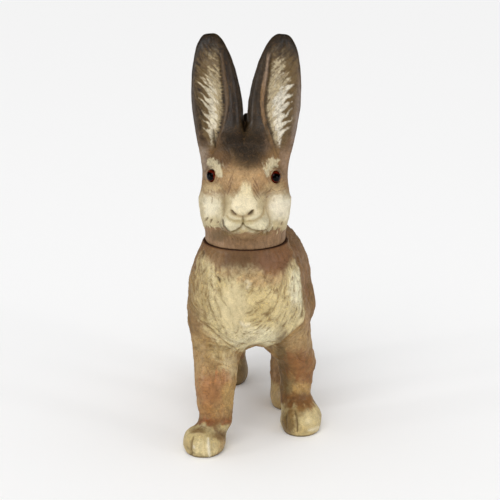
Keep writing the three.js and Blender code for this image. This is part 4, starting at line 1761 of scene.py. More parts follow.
    def outside(self) -> Form:
        """The whole outer form, before it is cut level."""
        seam = self.seam
        neck = column(*self.neck, seam - self.overrun, seam + self.overrun)
        face = joined(2.6, joined(self.head_blend, self.bone, neck), self.snout())
        face = joined(1.5, face, self.lid(Side.LEFT), self.lid(Side.RIGHT))
        foot, top = ((x, y, seam + z) for x, y, z in self.web)
        web = limb(foot, self.web_radii[0], top, self.web_radii[1])
        ears = joined(self.ear_edge / 2, self.ear(Side.LEFT), self.ear(Side.RIGHT), web)
        return joined(self.head_blend, face, ears)

    def hollowed(self) -> Form:
        """The moulding with its hollow, its bore and its eye sockets."""
        eyes = [self.eye_middle(side) for side in Side]
        socket = self.eye_diameter / 2 + self.socket_play

        def form(x: Array, y: Array, z: Array) -> Array:
            """Distance from the hollow moulding."""
            hollow = self.bone(x, y, z) + self.wall
            bore = np.maximum(length(x, y) - self.bore, z - self.bore_top)
            taken = np.minimum(hollow, bore)
            for cx, cy, cz in eyes:
                taken = np.minimum(taken, length(x - cx, y - cy, z - cz) - socket)
            return np.maximum(self.skin(x, y, z), -taken)

        return form

    def build(self, bench: Bench, view: Viewpoint, finish: Material) -> None:
        """Makes both halves of the moulding.

        Args:
            bench: where the hare stands.
            view: where the photograph was taken from.
            finish: the painted finish.
        """
        planes = (
            spaced(self.grid_across, self.cell, ()),
            spaced((self.grid_along[0], self.parting, self.grid_along[1]), self.cell, (self.parting,)),
            spaced((self.rim, self.grid_top), self.cell, (self.rim,)),
        )
        shell = Shell(self.form, planes, 1, self.parting, self.band)
        shell.build()
        layers = HeadCoat(self, view).lay(shell, self.skin(*shell.points.T) > -self.outer_depth)
        nape, face = shell.halves
        for name, faces in (("face", face), ("nape", nape)):
            piece = mesh_piece(name + "_moulding", bench.placed(shell.points), faces, layers)
            piece.data.materials.append(finish)
            ride(piece, "head", Slot.MOULDING, f"head_{name}_half")


FACE_TOOL = marks(
    (2.2, 0.9, "8a6f42", 0.7, 230.6, 210.2, 233.4, 213.8, 238.4, 216, 242.4, 216.8),
    (1.3, 1, "4a3319", 0.8, 230.8, 210, 232.8, 212.8, 235.8, 214.8),
    (2.3, 1, "8a6f42", 0.7, 254, 210.2, 250.6, 213.4, 246, 216, 242.4, 216.8),
    (1.5, 1.2, "432b14", 0.9, 253.6, 210.4, 251.6, 212.6, 248.4, 214.8),
    (1.5, 0.6, "9b8450", 0.6, 226.8, 215.6, 229.4, 218.6, 234, 220.6, 240, 220.6),
    (1.4, 0.6, "9a7d49", 0.6, 246, 221, 254, 220.6, 260, 217.6, 263.4, 213, 264.8, 206),
    (1.7, 1.2, "74602f", 0.8, 242.8, 217.8, 243.2, 221, 242.8, 224.4),
    (1.5, 1.2, "6f5a2c", 0.8, 242.8, 223.4, 240.8, 227.4, 237, 231, 230.6, 233.2),
    (1.5, 1.2, "6b5629", 0.8, 243, 223.4, 246.2, 227, 251.6, 230.8, 260.6, 232.4, 267.4, 228.8),
    # Painted shadow below the outer edge of the right lip pad, where it stands over the cheek.
    (2.2, 1, "4b3a1e", 0.85, 223, 219.6, 223, 225.5, 226, 230.6, 229.6, 233),
    (1.4, 0.7, "84693c", 0.6, 269.4, 220, 268.6, 225.6, 265, 230),
    # Creases between muzzle and cheeks, pressed in and painted darker as painted shade.
    (2, 0.7, "8f7747", 0.55, 223.8, 196, 223.6, 206, 224, 216),
    (1.6, 0.5, "9c8052", 0.4, 267.8, 189, 266.6, 199, 266.8, 210, 269.6, 221),
    # Near-black stroke down the deep crevice between the ears: painted shade.
    (2.6, 0.6, "0a0704", 0.97, 244.6, 112, 244.8, 120, 244.6, 131),
    (1.6, 0.9, "3b2d14", 0.85, 213.4, 130, 213.8, 138, 215.2, 147.4),
    (1.6, 0.8, "45341a", 0.75, 266.2, 122, 266.6, 131, 269, 141),
    (1.1, -0.6, "a0845f", 0.45, 205.6, 181, 208, 184.4, 212.5, 184.6, 216.2, 181.6, 217.2, 178),
    (1.1, -0.6, "9a7c57", 0.45, 269.2, 178.6, 271.2, 182.6, 276.5, 184.6, 281.5, 182.6),
    # Darker strokes at the inner corners of the eyes: painted shade.
    (0.8, 0.5, "7b6040", 0.6, 216, 176, 217.4, 180.4, 215.2, 183.6),
    (0.8, 0.5, "84664a", 0.6, 269, 175, 268.6, 180, 270.2, 183.4),
    # Dark arcs along the upper lids: painted shadow under the lids.
    (0.9, 0.4, "5f4a33", 0.7, 204.6, 172, 207, 168.8, 211.2, 168, 214.6, 171),
    (0.9, 0.4, "5a4330", 0.7, 271.4, 171.4, 274.4, 168.8, 278.6, 169.4, 281.2, 172.6),
)
FACE_HAIRS = marks(
    (0.62, 0.25, "6b4d33", 0.75, 231.6, 175.6, 230, 180, 228.2, 184.4),
    (0.5, 0.25, "6f5036", 0.6, 232.6, 179, 230.4, 184, 227.6, 188.6),
    (0.62, 0.25, "6b4d33", 0.7, 230.6, 184.8, 229.4, 189.6, 227, 194.6),
    (0.5, 0.2, "7b5c40", 0.5, 226.8, 187, 225.2, 192, 224, 196.4),
    (0.5, 0.25, "6e4c31", 0.7, 252.6, 177.4, 255.2, 181.6, 257.8, 186.4),
    (0.5, 0.25, "73503a", 0.6, 254.8, 180, 257.2, 184.4, 259.2, 189.6),
    (0.55, 0.25, "65452b", 0.75, 253.6, 184.2, 256.2, 189, 258.8, 194.4),
    (0.55, 0.25, "65452b", 0.75, 253.2, 188.6, 256.2, 193.6, 259.6, 198.8),
    (0.45, 0.2, "7d5b3e", 0.5, 256.8, 187.2, 259, 192, 261, 197.4),
    (0.5, 0.2, "5a4128", 0.65, 253.8, 195.4, 255.4, 198, 257.2, 200.6),
    (0.45, 0.15, "6f5138", 0.65, 208.4, 189.4, 208.2, 193),
    (0.45, 0.15, "6f5138", 0.65, 211.4, 189.2, 211.6, 192.6),
    (0.45, 0.15, "6f5138", 0.6, 214, 190.6, 214.6, 193.8),
    (0.4, 0.15, "7c5d42", 0.5, 216.6, 190.2, 217.6, 194),
    (0.4, 0.15, "7c5d42", 0.5, 206.4, 191.6, 205.6, 195),
    (0.5, 0.2, "6b4f36", 0.7, 212.4, 197, 212, 200, 211.8, 203.4),
    (0.45, 0.15, "8a6a4c", 0.5, 218.2, 197, 219, 202.4),
    (0.5, 0.15, "8a6a4c", 0.45, 220.8, 192, 222.4, 198),
    (0.5, 0.2, "6b4a36", 0.75, 266.6, 193, 269.2, 191, 271.4, 188.6, 274.2, 190.8, 277, 191.4),
    (0.5, 0.15, "6b4a36", 0.6, 278.4, 191, 281.4, 189.6),
    (0.5, 0.15, "6b4a36", 0.55, 281, 187.6, 284.6, 186.4),
    (0.45, 0.15, "7c5a44", 0.5, 282.8, 190.6, 285.4, 188.8),
    (0.5, 0.15, "7c5a44", 0.55, 268.6, 195.4, 266.8, 198.2),
    (0.5, 0.15, "8f7048", 0.5, 274.2, 197, 273.6, 201.4),
    # Dark gaps between the tufts at the cheeks' lower edges, pressed in and painted dark as painted shade
    # under the tufts.
    (1, 0.7, "5c4526", 0.8, 206.4, 220.4, 208.4, 217.2),
    (1.1, 0.7, "5c4526", 0.8, 211, 222.4, 212.8, 218.6),
    (1, 0.6, "6b5232", 0.65, 217.4, 222.8, 219.6, 221.2),
    (0.9, 0.6, "6b5232", 0.75, 280.6, 224.6, 281.8, 221.2),
    (0.9, 0.6, "5c4526", 0.7, 276.6, 230.4, 277.6, 226.6),
    (0.9, 0.6, "5c4526", 0.75, 271.6, 230.6, 272.2, 226.4),
    (0.8, 0.5, "5c4526", 0.65, 266.8, 234.6, 267.2, 229.8),
)


SMOOTH_MUZZLE = Spot((243, 213), (24, 22))
PALE_CHEEKS = (Spot((209, 207), (15, 19), 0.9), Spot((281, 208), (15, 19), 0.9))
CROWN_HAIRS = Spot((248, 141), (18, 26), 0.6)
# A darker spot on the neck just under the right cheek.
NECK_UNDER_CHEEK_SPOT = Spot((218, 236), (9, 6), 0.9)
CHEEK_TOP, CHEEK_LOW = 196, 227
CHEEK_TOP_RISES = ((268, 286), (206, 199))  # where the cheeks' top edge lifts, outward on each side
CHEEK_LOW_SHIFTS = ((258, 272), (210, 200))  # where their low edge drops and lifts
CHEEK_PUFF = (208, 220)  # the fall over which the cheek's fur stands out
BRIDGE_TOP, BRIDGE_MIDDLE, BRIDGE_LEVEL = 179, 244.6, 200
BRIDGE_FADES = ((176, 190), (228, 220))  # where the pale bridge starts and ends
CROWN = patches(
    (248, 132, 17, 33, "070400", 0.98, 1.1),
    (248, 154, 17, 13, "281d0d", 0.75, 1.5),
)
BROWS_AND_CROWN = patches(
    (203, 158, 6, 20, "968675", 0.7),
    (286, 160, 6, 22, "987c62", 0.75),
    (221, 157, 13, 12, "5f4427", 0.9),
    (265, 158, 11, 12, "80613d", 0.8),
    (246, 178, 24, 11, "ba986c", 0.9),
    (229, 178, 8, 10, "a5845a", 0.6),
    (262, 181, 8, 9, "ad875a", 0.6),
    (227, 142, 6, 9, "4c3820", 0.6),
    (211, 187, 11, 4.5, "c3ad82", 0.7),
    (275, 187.5, 10, 4.5, "c0a77a", 0.7),
    (209, 183, 8, 3, "a98c60", 0.6),
    (276, 183, 8, 3, "a98c60", 0.6),
)
MUZZLE = patches(
    (244, 213, 24, 9, "d9caa4", 0.9, 0.6),
    (233, 225, 12, 8.5, "d6cba9", 0.95, 0.4),
    (256, 225, 15, 8.5, "d6cba9", 0.95, 0.4),
    (243, 204, 13, 9, "e6d9b8", 0.7),
    (243, 221.5, 12, 3, "a8935e", 0.5),
    # Painted shade at the sides of the nose.
    (228, 207, 4, 9, "b8a274", 0.4),
    (262, 205, 4, 9, "b39a6c", 0.4),
    (243.5, 230.5, 5, 2.2, "c4b083", 0.8, 0.5),
    # Painted shade under the chin and under the lip pads.
    (247, 236, 12, 3, "9b7e5b", 0.85, 0.5),
    (230, 233.4, 7, 2, "8c7446", 0.55),
    (262, 233.4, 8, 2, "8c7446", 0.55),
)
# The pale cheeks, with painted shade in the creases beside the muzzle, along the cheeks' lower edges and at
# the outer side of the right cheek.
CHEEK_PAINT_AND_SHADE = patches(
    (209, 206, 13, 13, "e3d9bd", 0.8, 1.2),
    (280, 206, 13, 14, "eadfc6", 0.85, 1.2),
    (225, 206, 4, 18, "a38a5e", 0.5),
    (266.5, 206, 4, 18, "c0a67c", 0.4),
    (212, 222, 12, 6, "bdac80", 0.6),
    (278, 226, 12, 6, "b7a273", 0.6),
    (201, 214, 4, 16, "a8946a", 0.6),
)
BROW_STROKES = (
    ((209, 160), (213, 161.4), (216.4, 165.6), (218.6, 170.6), (219.6, 177)),
    ((208.6, 163), (212.6, 164.6), (215.6, 168.6)),
    ((278.2, 160.8), (273.4, 161.4), (269.6, 165), (268, 170), (267.4, 176)),
    ((276.4, 163.6), (272.4, 165.4), (270, 169)),
)


@dataclass
class HeadCoat:
    """The carved fur and paint of the head.

    Args:
        head: the head.
        view: where the photograph was taken from.
    """

    head: Head
    view: Viewpoint

    def comb(self, points: Array, normals: Array) -> Array:
        """Gives the way that the fur lies.

        Args:
            points: one row a point.
            normals: the surface's normals there.

        Returns:
            Unit vectors along the surface.
        """
        wander = Grain(31)
        nose = np.array([self.head.muzzle_aside, -self.head.muzzle_reach, self.head.seam + 34])
        way = unit(points - nose)
        neck = ramp(points[:, 2], 186, 174)
        way = way * (1 - neck)[:, None] + np.array([0, 0, -1]) * neck[:, None]
        ear = ramp(points[:, 2], 232, 246)
        way = way * (1 - ear)[:, None] + np.array([0, 0, 1]) * ear[:, None]
        for side in Side:
            out, _, up = self.head.ear_place(side, *points.T)
            out = out * side.value
            inside = ramp(np.abs(out - 2), 14, 10) * ramp(np.abs(up - 4), 44, 38)
            inside = inside * ramp(points[:, 0] * side.value, 0, 4)
            axes, _ = self.head.ear_axes(side)
            slant = axes @ np.array([side.value * 0.62, 0, 0.78])
            way = way * (1 - inside)[:, None] + slant * inside[:, None]
        for axis in range(3):
            loose = 0.3 + 0.7 * ramp(points[:, 2], 205, 222) * ramp(points[:, 2], 258, 244)
            sway = wander.at(points + 40 * axis, 9) + 0.6 * wander.at(points + 70 * axis, 4)
            way[:, axis] += loose * sway
        way -= (way * normals).sum(1)[:, None] * normals
        return unit(way)

    def lay(self, shell: Shell, outer: Array) -> dict[str, Array]:
        """Carves the shell's points and works out their paint.

        Args:
            shell: the moulding's surface, whose points are moved.
            outer: which points are on the outside.

        Returns:
            Layers of paint, gloss and fur for every point.
        """
        points = shell.points[outer]
        _, slope = slopes(self.head.skin, points)
        normals = unit(slope)
        way = self.comb(points, normals)
        rim, z = self.head.rim, points[:, 2]
        tuft = Grain(41).combed(points, way, 2.2, 6)
        hair = Grain(42).combed(points, way, 1.15, 4)
        canvas = Canvas(points, normals, self.view, "94734a", 45)
        canvas.strokes = 0.25 * tuft + 0.55 * hair + 0.7 * Grain(50).at(points, 1.1)
        canvas.broken = 0.28
        self.face(canvas, tuft, hair)
        for side in Side:
            self.ear(canvas, side, tuft, hair)
        # Painted shade in creases and under overhangs, by how closely the form shuts each point in, with some
        # dark patina there too; kept off the pale cheeks.
        crease = shelter(self.head.skin, points, normals, (1.2, 3.0, 7.0))
        canvas.lay("54401f", crease * (1 - 0.9 * self.pale_cheeks(canvas)) * 0.85)
        canvas.mark(FACE_TOOL)
        canvas.mark(FACE_HAIRS)
        mottle = Grain(48).at(points, 3.5) + 0.7 * Grain(49).at(points, 1.6)
        canvas.tone(0.82, ramp(mottle, 0.1, 1.1))
        # Painted shade: surfaces that face sideways are darkened, as light falls off towards the sides.
        canvas.tone(0.75, ramp(np.abs(normals[:, 0]), 0.6, 1.0) * 0.4)
        canvas.lay("4a2a17", ramp(z, rim + 0.45, rim + 0.1) * 0.8)
        canvas.height -= 0.3 * ramp(z, rim + 1.0, rim) ** 2
        carve(shell, outer, canvas)
        fur = 0.55 * (1 - self.smooth(canvas)) * ramp(mottle, 1.4, 0.0)
        return coated(outer, shell.points[:, 2] < rim + 0.1, canvas, 0.1, fur)

    def smooth(self, canvas: Canvas) -> Array:
        """Tells where the face is smoothed: the muzzle and the pale cheeks."""
        return np.maximum(canvas.blob(SMOOTH_MUZZLE), 0.8 * self.pale_cheeks(canvas))

    def pale_cheeks(self, canvas: Canvas) -> Array:
        """Tells where the pale cheeks are."""
        return np.maximum(*[canvas.blob(spot) for spot in PALE_CHEEKS])

    def face(self, canvas: Canvas, tuft: Array, hair: Array) -> None:
        """Carves and paints the face, the crown, the nape and the neck.

        Args:
            canvas: the head's outside.
            tuft: broad strokes.
            hair: fine strokes.
        """
        x, y, z = canvas.points.T
        u, v = canvas.place.T
        smooth = self.smooth(canvas)
        fur = 1 - 0.85 * smooth
        canvas.height += fur * (0.34 * (np.tanh(np.abs(tuft)) - 0.5) + 0.18 * (np.tanh(np.abs(hair)) - 0.5))
        sideways = 1 - 0.6 * ramp(np.abs(canvas.normals[:, 0]), 0.55, 0.9)
        canvas.height *= (1 - 0.75 * ramp(z, 232, 246)) * sideways
        canvas.height += 0.2 * Grain(47).at(canvas.points, 5)
        canvas.brush("5c4026", ramp(y, 2, 14), 0.85)
        temples = ramp(np.abs(x), 21, 29) * ramp(z, 208, 222) * ramp(y, -30, -14)
        canvas.brush("6f5438", temples, 0.8)
        canvas.brush("3d2f1c", ramp(z, 229, 240) * ramp(np.abs(x), 26, 14), 0.8)
        canvas.wash(BROWS_AND_CROWN)
        for each in CROWN:
            canvas.lay(each.colour, canvas.blob(each) * each.cover)
        canvas.lay("6b5030", canvas.blob(CROWN_HAIRS) * ramp(hair, 0.9, 1.9) * 0.6)
        self.cheeks(canvas)
        down = np.clip(v - BRIDGE_TOP, 0, 40)
        aside = np.abs(u - BRIDGE_MIDDLE - 0.09 * (BRIDGE_LEVEL - v))
        bridge = ramp(aside, 3.5 + 0.52 * down, 0.34 * down)
        bridge = bridge * ramp(v, *BRIDGE_FADES[0]) * ramp(v, *BRIDGE_FADES[1]) * canvas.shown
        canvas.brush("ddcda6", bridge)
        canvas.wash(MUZZLE)
        for brow in BROW_STROKES:
            lit = canvas.brushed(canvas.stroke(brow, 4.4, False), 1.6)
            canvas.height += 0.3 * lit
            canvas.lay("d0c29f", np.clip(lit * 1.35 - 0.1, 0, 0.95))
        groove = np.tanh(1.3 * (0.62 - 0.6 * np.abs(tuft) - 0.5 * np.abs(hair)))
        canvas.lay("5a4020", ramp(groove, 0.0, 0.9) * 0.42 * (1 - 0.9 * smooth))
        # Ridges of the carved fur made paler: partly wear, partly a painted highlight.
        canvas.tone(1.25, ramp(-groove, 0.1, 0.8) * 0.45 * fur)

    def cheeks(self, canvas: Canvas) -> None:
        """Paints the pale cheeks and the brown neck under them."""
        x, y, z = canvas.points.T
        u, v = canvas.place.T
        spikes = Grain(51).at(canvas.points * np.array([1, 1, 0.35]), 1.6)
        low = CHEEK_LOW + 3.0 * spikes + 3 * ramp(u, *CHEEK_LOW_SHIFTS[0])
        low = low - 2.0 * ramp(u, *CHEEK_LOW_SHIFTS[1])
        top = CHEEK_TOP - 2.0 * ramp(u, *CHEEK_TOP_RISES[0]) - 2.0 * ramp(u, *CHEEK_TOP_RISES[1])
        fade = ramp(v, top - 9, top + 9)
        cheek = (0.65 * fade + 0.35 * canvas.brushed(fade)) * ramp(v, low + 1.4, low - 1.4) * ramp(y, 4, -6)
        neck = ramp(z, 184, 178)
        canvas.lay("907152", neck)
        canvas.lay("967553", neck * canvas.brushed(ramp(np.abs(x), 14, 26)) * 0.7)
        canvas.brush("977553", neck * ramp(z, 166, 174) * ramp(x, -4, 10), 0.6)
        upright = Grain(53).at(canvas.points * np.array([1, 1, 0.28]), 1.5)
        canvas.lay("54432a", neck * ramp(z, 165, 172) * ramp(upright, 0.35, 1.0) * 0.6)
        canvas.brush("5b4a2c", neck * canvas.blob(NECK_UNDER_CHEEK_SPOT), 0.6)
        canvas.lay("d6c8a2", cheek)
        canvas.wash(CHEEK_PAINT_AND_SHADE, cheek)
        canvas.height += 0.8 * cheek * ramp(v, *CHEEK_PUFF)

    def ear(self, canvas: Canvas, side: Side, tuft: Array, hair: Array) -> None:
        """Carves and paints one ear.

        Args:
            canvas: the head's outside.
            side: which ear.
            tuft: broad strokes.
            hair: fine strokes.
        """
        out, _, up = self.head.ear_place(side, *canvas.points.T)
        out = out * side.value
        mine = ramp(canvas.points[:, 0] * side.value, -0.5, 2.5) * ramp(canvas.points[:, 2], 230, 243)
        axes, _ = self.head.ear_axes(side)
        front = ramp(-(canvas.normals @ axes[:, 1]), -0.25, 0.15) * mine
        uneven = Grain(61).at(canvas.points, 4)
        right = side is Side.RIGHT
        canvas.lay("261c12" if right else "2f2417", mine * 0.95)
        canvas.brush("3f2f1c", mine * (1 - front) * ramp(uneven, -0.4, 0.6), 0.7)
        outward = canvas.brushed(front * ramp(out, 5, 12) * ramp(up, 44, 22))
        canvas.lay("2a2015" if right else "5c4a34", outward)
        # Painted highlight: a greyish sheen along the ear's outer rim, strong on the left ear, faint on the
        # right.
        rim = canvas.brushed(front * ramp(out, 12, 16) * ramp(up, 36, 0))
        canvas.lay("84756a", rim * (0.15 if right else 0.9))
        root = canvas.brushed(front * ramp(up, -14, -34) * ramp(out, -12, 0))
        canvas.lay("765b40" if right else "856a54", root * 0.85)
        valley = -9.2 + 12.0 * ramp(up, 4, -36) ** 1.2
        edge = 12.6 * np.sqrt(np.clip(1 - ((up - 1) / 46) ** 2, 0, 1)) - (1.2 if right else 0.0)
        span = (out - valley) / np.maximum(edge - valley, 2.0)
        phase = (up - 1.1 * out) / 6.7 + 0.3 * uneven
        spike = 1 - np.abs(2 * np.mod(phase, 1.0) - 1)
        reach = 0.62 + 0.4 * spike * ramp(up, 30, 18) * ramp(up, -27, -18)
        bed = front * ramp(span, -0.1, 0.12) * ramp(span, 1.3, 0.8) * ramp(up, -38, -30)
        canvas.brush("705c3c", bed * ramp(up, 47, 30), 0.85, 2)
        pale = bed * ramp(span, 0.0, 0.25) * ramp(span, reach + 0.12, reach - 0.12)
        pale *= ramp(up, 46, 12) * ramp(up, -35, -24)
        canvas.brush("b5a37d" if right else "c0b08e", pale, 0.92, 2.4)
        lit = canvas.brushed(pale * ramp(span, 0.2, 0.6) * ramp(up, 30, 2), 2.8)
        canvas.lay("ddd3bb" if right else "ebe4d3", lit * 0.85)
        canvas.lay("5d4826", bed * ramp(np.abs(hair), 0.5, 0.1) * (0.4 + 0.3 * ramp(up, 8, 34)))
        canvas.lay("4d3a1f", bed * ramp(np.abs(tuft), 0.4, 0.05) * (0.25 + 0.5 * ramp(up, 8, 34)))
        canvas.height += bed * (0.25 * np.tanh(tuft) + 0.14 * np.tanh(hair))
        beside = out - valley
        broad = 3.6 - 2.0 * ramp(up, 8, 36)
        strip = front * ramp(beside, -broad - 1.4, -broad) * ramp(beside, 0.4, -1.0)
        strip *= ramp(up, 39, 33) * ramp(up, -46, -34)
        canvas.brush("6f5639" if right else "876845", strip, 0.55 if right else 0.9, 2)
        if not right:
            canvas.brush("998370", strip * ramp(up, 8, 22), 0.7)
        canvas.height += 0.5 * strip
        crease = np.exp(-((beside / 1.2) ** 2)) * front * ramp(up, 40, 30) * ramp(up, -42, -33)
        canvas.height -= 1.1 * crease
        # Painted shade in the pressed crease beside the strip.
        canvas.lay("3d2c14", crease * (0.45 if right else 0.6))
        across = np.stack([out / 2.6, 0 * out, up / 0.8], 1)
        lash = ramp(Grain(63).at(across, 1.0), -0.05, 0.3)
        near = np.exp(-(((beside - 0.6) / 2.0) ** 2)) * front * ramp(up, 34, 22) * ramp(up, -30, -24)
        canvas.lay("241a0d", near * lash * (1.0 if right else 0.5))
        canvas.lay("1a130b", mine * ramp(up, 34, 50) * 0.85)
        canvas.lay("1d160c", ramp(np.abs(tuft), 0.4, 0.1) * mine * (1 - bed) * 0.35)
        canvas.lay("4a3a26", ramp(tuft, 0.8, 1.8) * mine * (1 - bed) * 0.3)
        canvas.height += mine * (1 - bed) * 0.06 * np.tanh(tuft)


@dataclass
class Eyes:
    """The two glass beads with their pupils.

    Args:
        head: the head that they sit in.
        pupil_reach: degrees that the pupil spreads from its middle.
        look: degrees that each eye looks out from straight ahead.
        lift: how much it looks up.
        pupil_stand: how far the pupil stands out of the bead.
        rings: rows of points from front to back.
        turns: points in a row.
        tip: degrees from either end of a ball that are closed by one point.
    """

    head: Head
    pupil_reach: float = 38.0
    look: float = 31.0
    lift: float = 0.08
    pupil_stand: float = 0.06
    rings: int = 48
    turns: int = 64
    tip: float = 1.0

    def dome(self, name: str, side: Side, start: float, end: float, radius: float, bench: Bench) -> Piece:
        """Makes part of a ball round an eye's gaze, closed behind.

        Args:
            name: the piece's name.
            side: which eye.
            start: degrees from the gaze where the part starts.
            end: degrees from the gaze where it ends.
            radius: the ball's radius.
            bench: where the hare stands.

        Returns:
            The piece.
        """
        aside = np.radians(self.look)
        gaze = Vector((side.value * np.sin(aside), -np.cos(aside), self.lift)).normalized()
        turn = gaze.to_track_quat("Z", "Y").to_matrix()
        angles = np.radians(np.linspace(max(start, self.tip), min(end, 180 - self.tip), self.rings))
        profile = [(radius * np.sin(a), radius * np.cos(a)) for a in angles]
        round_about = np.linspace(0, 2 * np.pi, self.turns, endpoint=False)
        rows = np.array([[(r * np.cos(t), r * np.sin(t), h) for t in round_about] for r, h in profile])
        points = [tuple(p) for p in rows.reshape(-1, 3)]
        faces = []
        for n in range(self.rings - 1):
            for m in range(self.turns):
                after = (m + 1) % self.turns
                a, b = n * self.turns + m, n * self.turns + after
                faces.append((a, a + self.turns, b + self.turns, b))
        for row, flip in ((0, False), (self.rings - 1, True)):
            middle = len(points)
            points.append((0, 0, profile[row][1] if row else radius * np.cos(angles[0] * 0.5)))
            for m in range(self.turns):
                a, b = row * self.turns + m, row * self.turns + (m + 1) % self.turns
                faces.append((middle, b, a) if flip else (middle, a, b))
        middle = self.head.eye_middle(side)
        world = np.array([turn @ Vector(p) for p in points]) + middle
        mesh = bpy.data.meshes.new(name)
        mesh.from_pydata(bench.placed(world).tolist(), [], faces)
        mesh.polygons.foreach_set("use_smooth", np.ones(len(faces), bool))
        mesh.set_sharp_from_angle(angle=np.radians(GLASS_SHARP))
        piece = bpy.data.objects.new(name, mesh)
        bpy.context.scene.collection.objects.link(piece)
        return piece

    def build(self, bench: Bench, glass: Material, black: Material) -> None:
        """Makes both eyes.

        Args:
            bench: where the hare stands.
            glass: the beads' finish.
            black: the pupils' finish.
        """
        radius = self.head.eye_diameter / 2
        for side in Side:
            name = side.name.lower()
            bead = self.dome("eye_bead_" + name, side, 0, 180, radius, bench)
            bead.data.materials.append(glass)
            ride(bead, "head", Slot.GLASS, "eye_glass_" + name)
            pupil = self.dome("pupil_" + name, side, 0, self.pupil_reach, radius + self.pupil_stand, bench)
            pupil.data.materials.append(black)
            ride(pupil, "head", Slot.PUPIL, "eye_pupil_" + name)


@dataclass(frozen=True)
class Glass:
    """Coloured glass, as of the eyes.

    Args:
        name: the finish's name.
        deep: its colour where it is thick.
        bright: its colour where light comes through.
        shine: how much light its surface throws back.
        rough: its roughness.
        swirls: lumps of colour to a metre.
    """

    name: str
    deep: str
    bright: str
    shine: float = 0.08
    rough: float = 0.06
    swirls: float = 420

    def material(self) -> Material:
        """Builds the material.

        Returns:
            The material.
        """
        graph = Graph(self.name)
        swirl = graph.between(graph.noise(self.swirls, 2, 0.5), 0.4, 0.65, (0.0, 1.0))
        colour = graph.mixed(swirl, (*pigment(self.deep), 1.0), (*pigment(self.bright), 1.0))
        graph.shade(Base_Color=colour, Roughness=self.rough, Specular_IOR_Level=self.shine)
        return graph.material


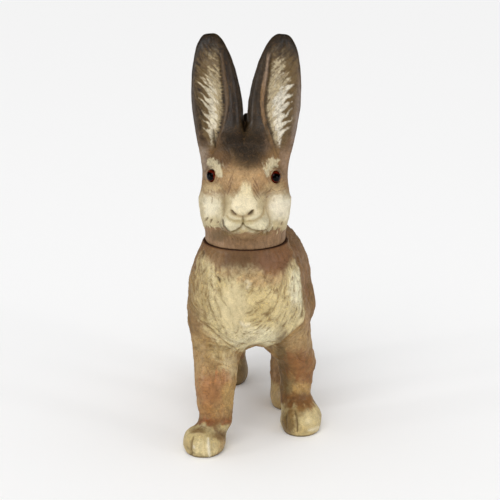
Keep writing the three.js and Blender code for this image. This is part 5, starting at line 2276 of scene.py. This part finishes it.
@dataclass
class Studio:
    """The pale floor, the soft lights and the camera.

    Args:
        view: where the photograph was taken from.
        bench: where the hare stands.
    """

    view: Viewpoint
    bench: Bench
    sensor: float = 36.0
    surround: float = 0.69
    key_power: float = 1.0
    key_spread: float = 40.0
    panel_size: Pixel = (0.3, 1.3)
    panel_power: float = 13.0
    panel_away: float = 2500.0
    panel_turns: Pixel = (-68.0, 56.0)
    glint_power: float = 90.0
    key_at: Point = (-150.0, -1000.0, 1290.0)
    panel_height: float = 330.0
    aim_height: float = 180.0
    far: float = 50.0
    floor_reach: float = 12.0
    floor_tone: float = 0.97

    def camera(self) -> None:
        """Places the camera at the photograph's viewpoint."""
        place, _, _, ahead = self.view.axes()
        data = bpy.data.cameras.new("camera")
        data.sensor_width = self.sensor
        data.lens = self.view.focal * self.sensor / IMAGE
        data.clip_end = self.far
        camera = bpy.data.objects.new("camera", data)
        camera.location = self.bench.placed(place)
        camera.rotation_euler = Vector(-ahead).to_track_quat("Z", "Y").to_euler()
        bpy.context.scene.collection.objects.link(camera)
        bpy.context.scene.camera = camera

    def floor(self) -> None:
        """Lays a plain pale floor."""
        mesh = bpy.data.meshes.new("floor")
        turns = ((-1, -1), (1, -1), (1, 1), (-1, 1))
        corner = [(x * self.floor_reach, y * self.floor_reach, 0) for x, y in turns]
        mesh.from_pydata(corner, [], [(0, 1, 2, 3)])
        floor = bpy.data.objects.new("floor", mesh)
        graph = Graph("floor_paper")
        graph.shade(Base_Color=(*[self.floor_tone] * 3, 1), Roughness=1.0, Specular_IOR_Level=0.0)
        mesh.materials.append(graph.material)
        bpy.context.scene.collection.objects.link(floor)

    def lights(self) -> None:
        """Sets soft studio light: white all round, a broad key, and a tall panel at either side."""
        world = bpy.data.worlds.new("studio")
        world.use_nodes = True
        backdrop = world.node_tree.nodes["Background"]
        backdrop.inputs["Color"].default_value = (1, 1, 1, 1)
        backdrop.inputs["Strength"].default_value = self.surround
        world.cycles_visibility.glossy = False
        bpy.context.scene.world = world
        key = bpy.data.lights.new("key", "SUN")
        key.energy, key.angle = self.key_power, np.radians(self.key_spread)
        placed = [(key, np.array(self.key_at))]
        place = self.view.axes()[0]
        for turn in self.panel_turns:
            around = np.arctan2(place[1], place[0]) + np.radians(turn)
            across, along = self.panel_away * np.cos(around), self.panel_away * np.sin(around)
            at = np.array((across, along, self.panel_height))
            for name, power in (("panel", self.panel_power), ("glint", self.glint_power)):
                panel = bpy.data.lights.new(name, "AREA")
                panel.shape, panel.size, panel.size_y = "RECTANGLE", *self.panel_size
                panel.energy = power
                placed.append((panel, at))
        for light, at in placed:
            lamp = bpy.data.objects.new(light.name, light)
            lamp.visible_camera = False
            lamp.visible_diffuse = light.name.split(".")[0] != "glint"
            lamp.location = self.bench.placed(at)
            back = Vector(at - np.array((0, 0, self.aim_height)))
            lamp.rotation_euler = back.to_track_quat("Z", "Y").to_euler()
            bpy.context.scene.collection.objects.link(lamp)
        bpy.context.scene.view_settings.view_transform = "Standard"


FRAME_FINISHES: dict[Slot, BareStock] = {
    Slot.CARD: BareStock("card_board", "b99f78", "8d7450", 900, 0.85, 0.00008),
    Slot.PAPER: BareStock("lining_paper", "d8cfb8", "b5a481", 500, 0.92, 0.0001),
    Slot.PUTTY: BareStock("putty", "d4ccb9", "a89c82", 300, 0.85, 0.0002),
}


def dress_frame() -> None:
    """Gives the frame's own nodes that still show their finish."""
    slots = {part["node"]: part["material_slot"] for part in frame["record"]["subparts"]}
    for slot, stock in FRAME_FINISHES.items():
        material = stock.material()
        for node, piece in frame["nodes"].items():
            if slots[node] == slot.value:
                piece.data.materials.clear()
                piece.data.materials.append(material)
                log.info("%s keeps its node, finished as %s", node, stock.name)


def main() -> None:
    """Builds the hare round its frame, and the studio that it stands in."""
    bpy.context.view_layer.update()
    bench, view = Bench.from_frame(), Viewpoint()
    studio = Studio(view, bench)
    studio.camera()
    studio.floor()
    studio.lights()
    gesso = PaintedGesso().material()
    Body().build(bench, view, gesso)
    head = Head()
    head.build(bench, view, gesso)
    amber = Glass("amber_glass", "240502", "641703").material()
    black = Glass("black_glass", "020101", "050303").material()
    Eyes(head).build(bench, amber, black)
    dress_frame()


if __name__ == "__main__":
    logging.basicConfig(level=logging.INFO, format="%(relativeCreated)d %(message)s")
    main()
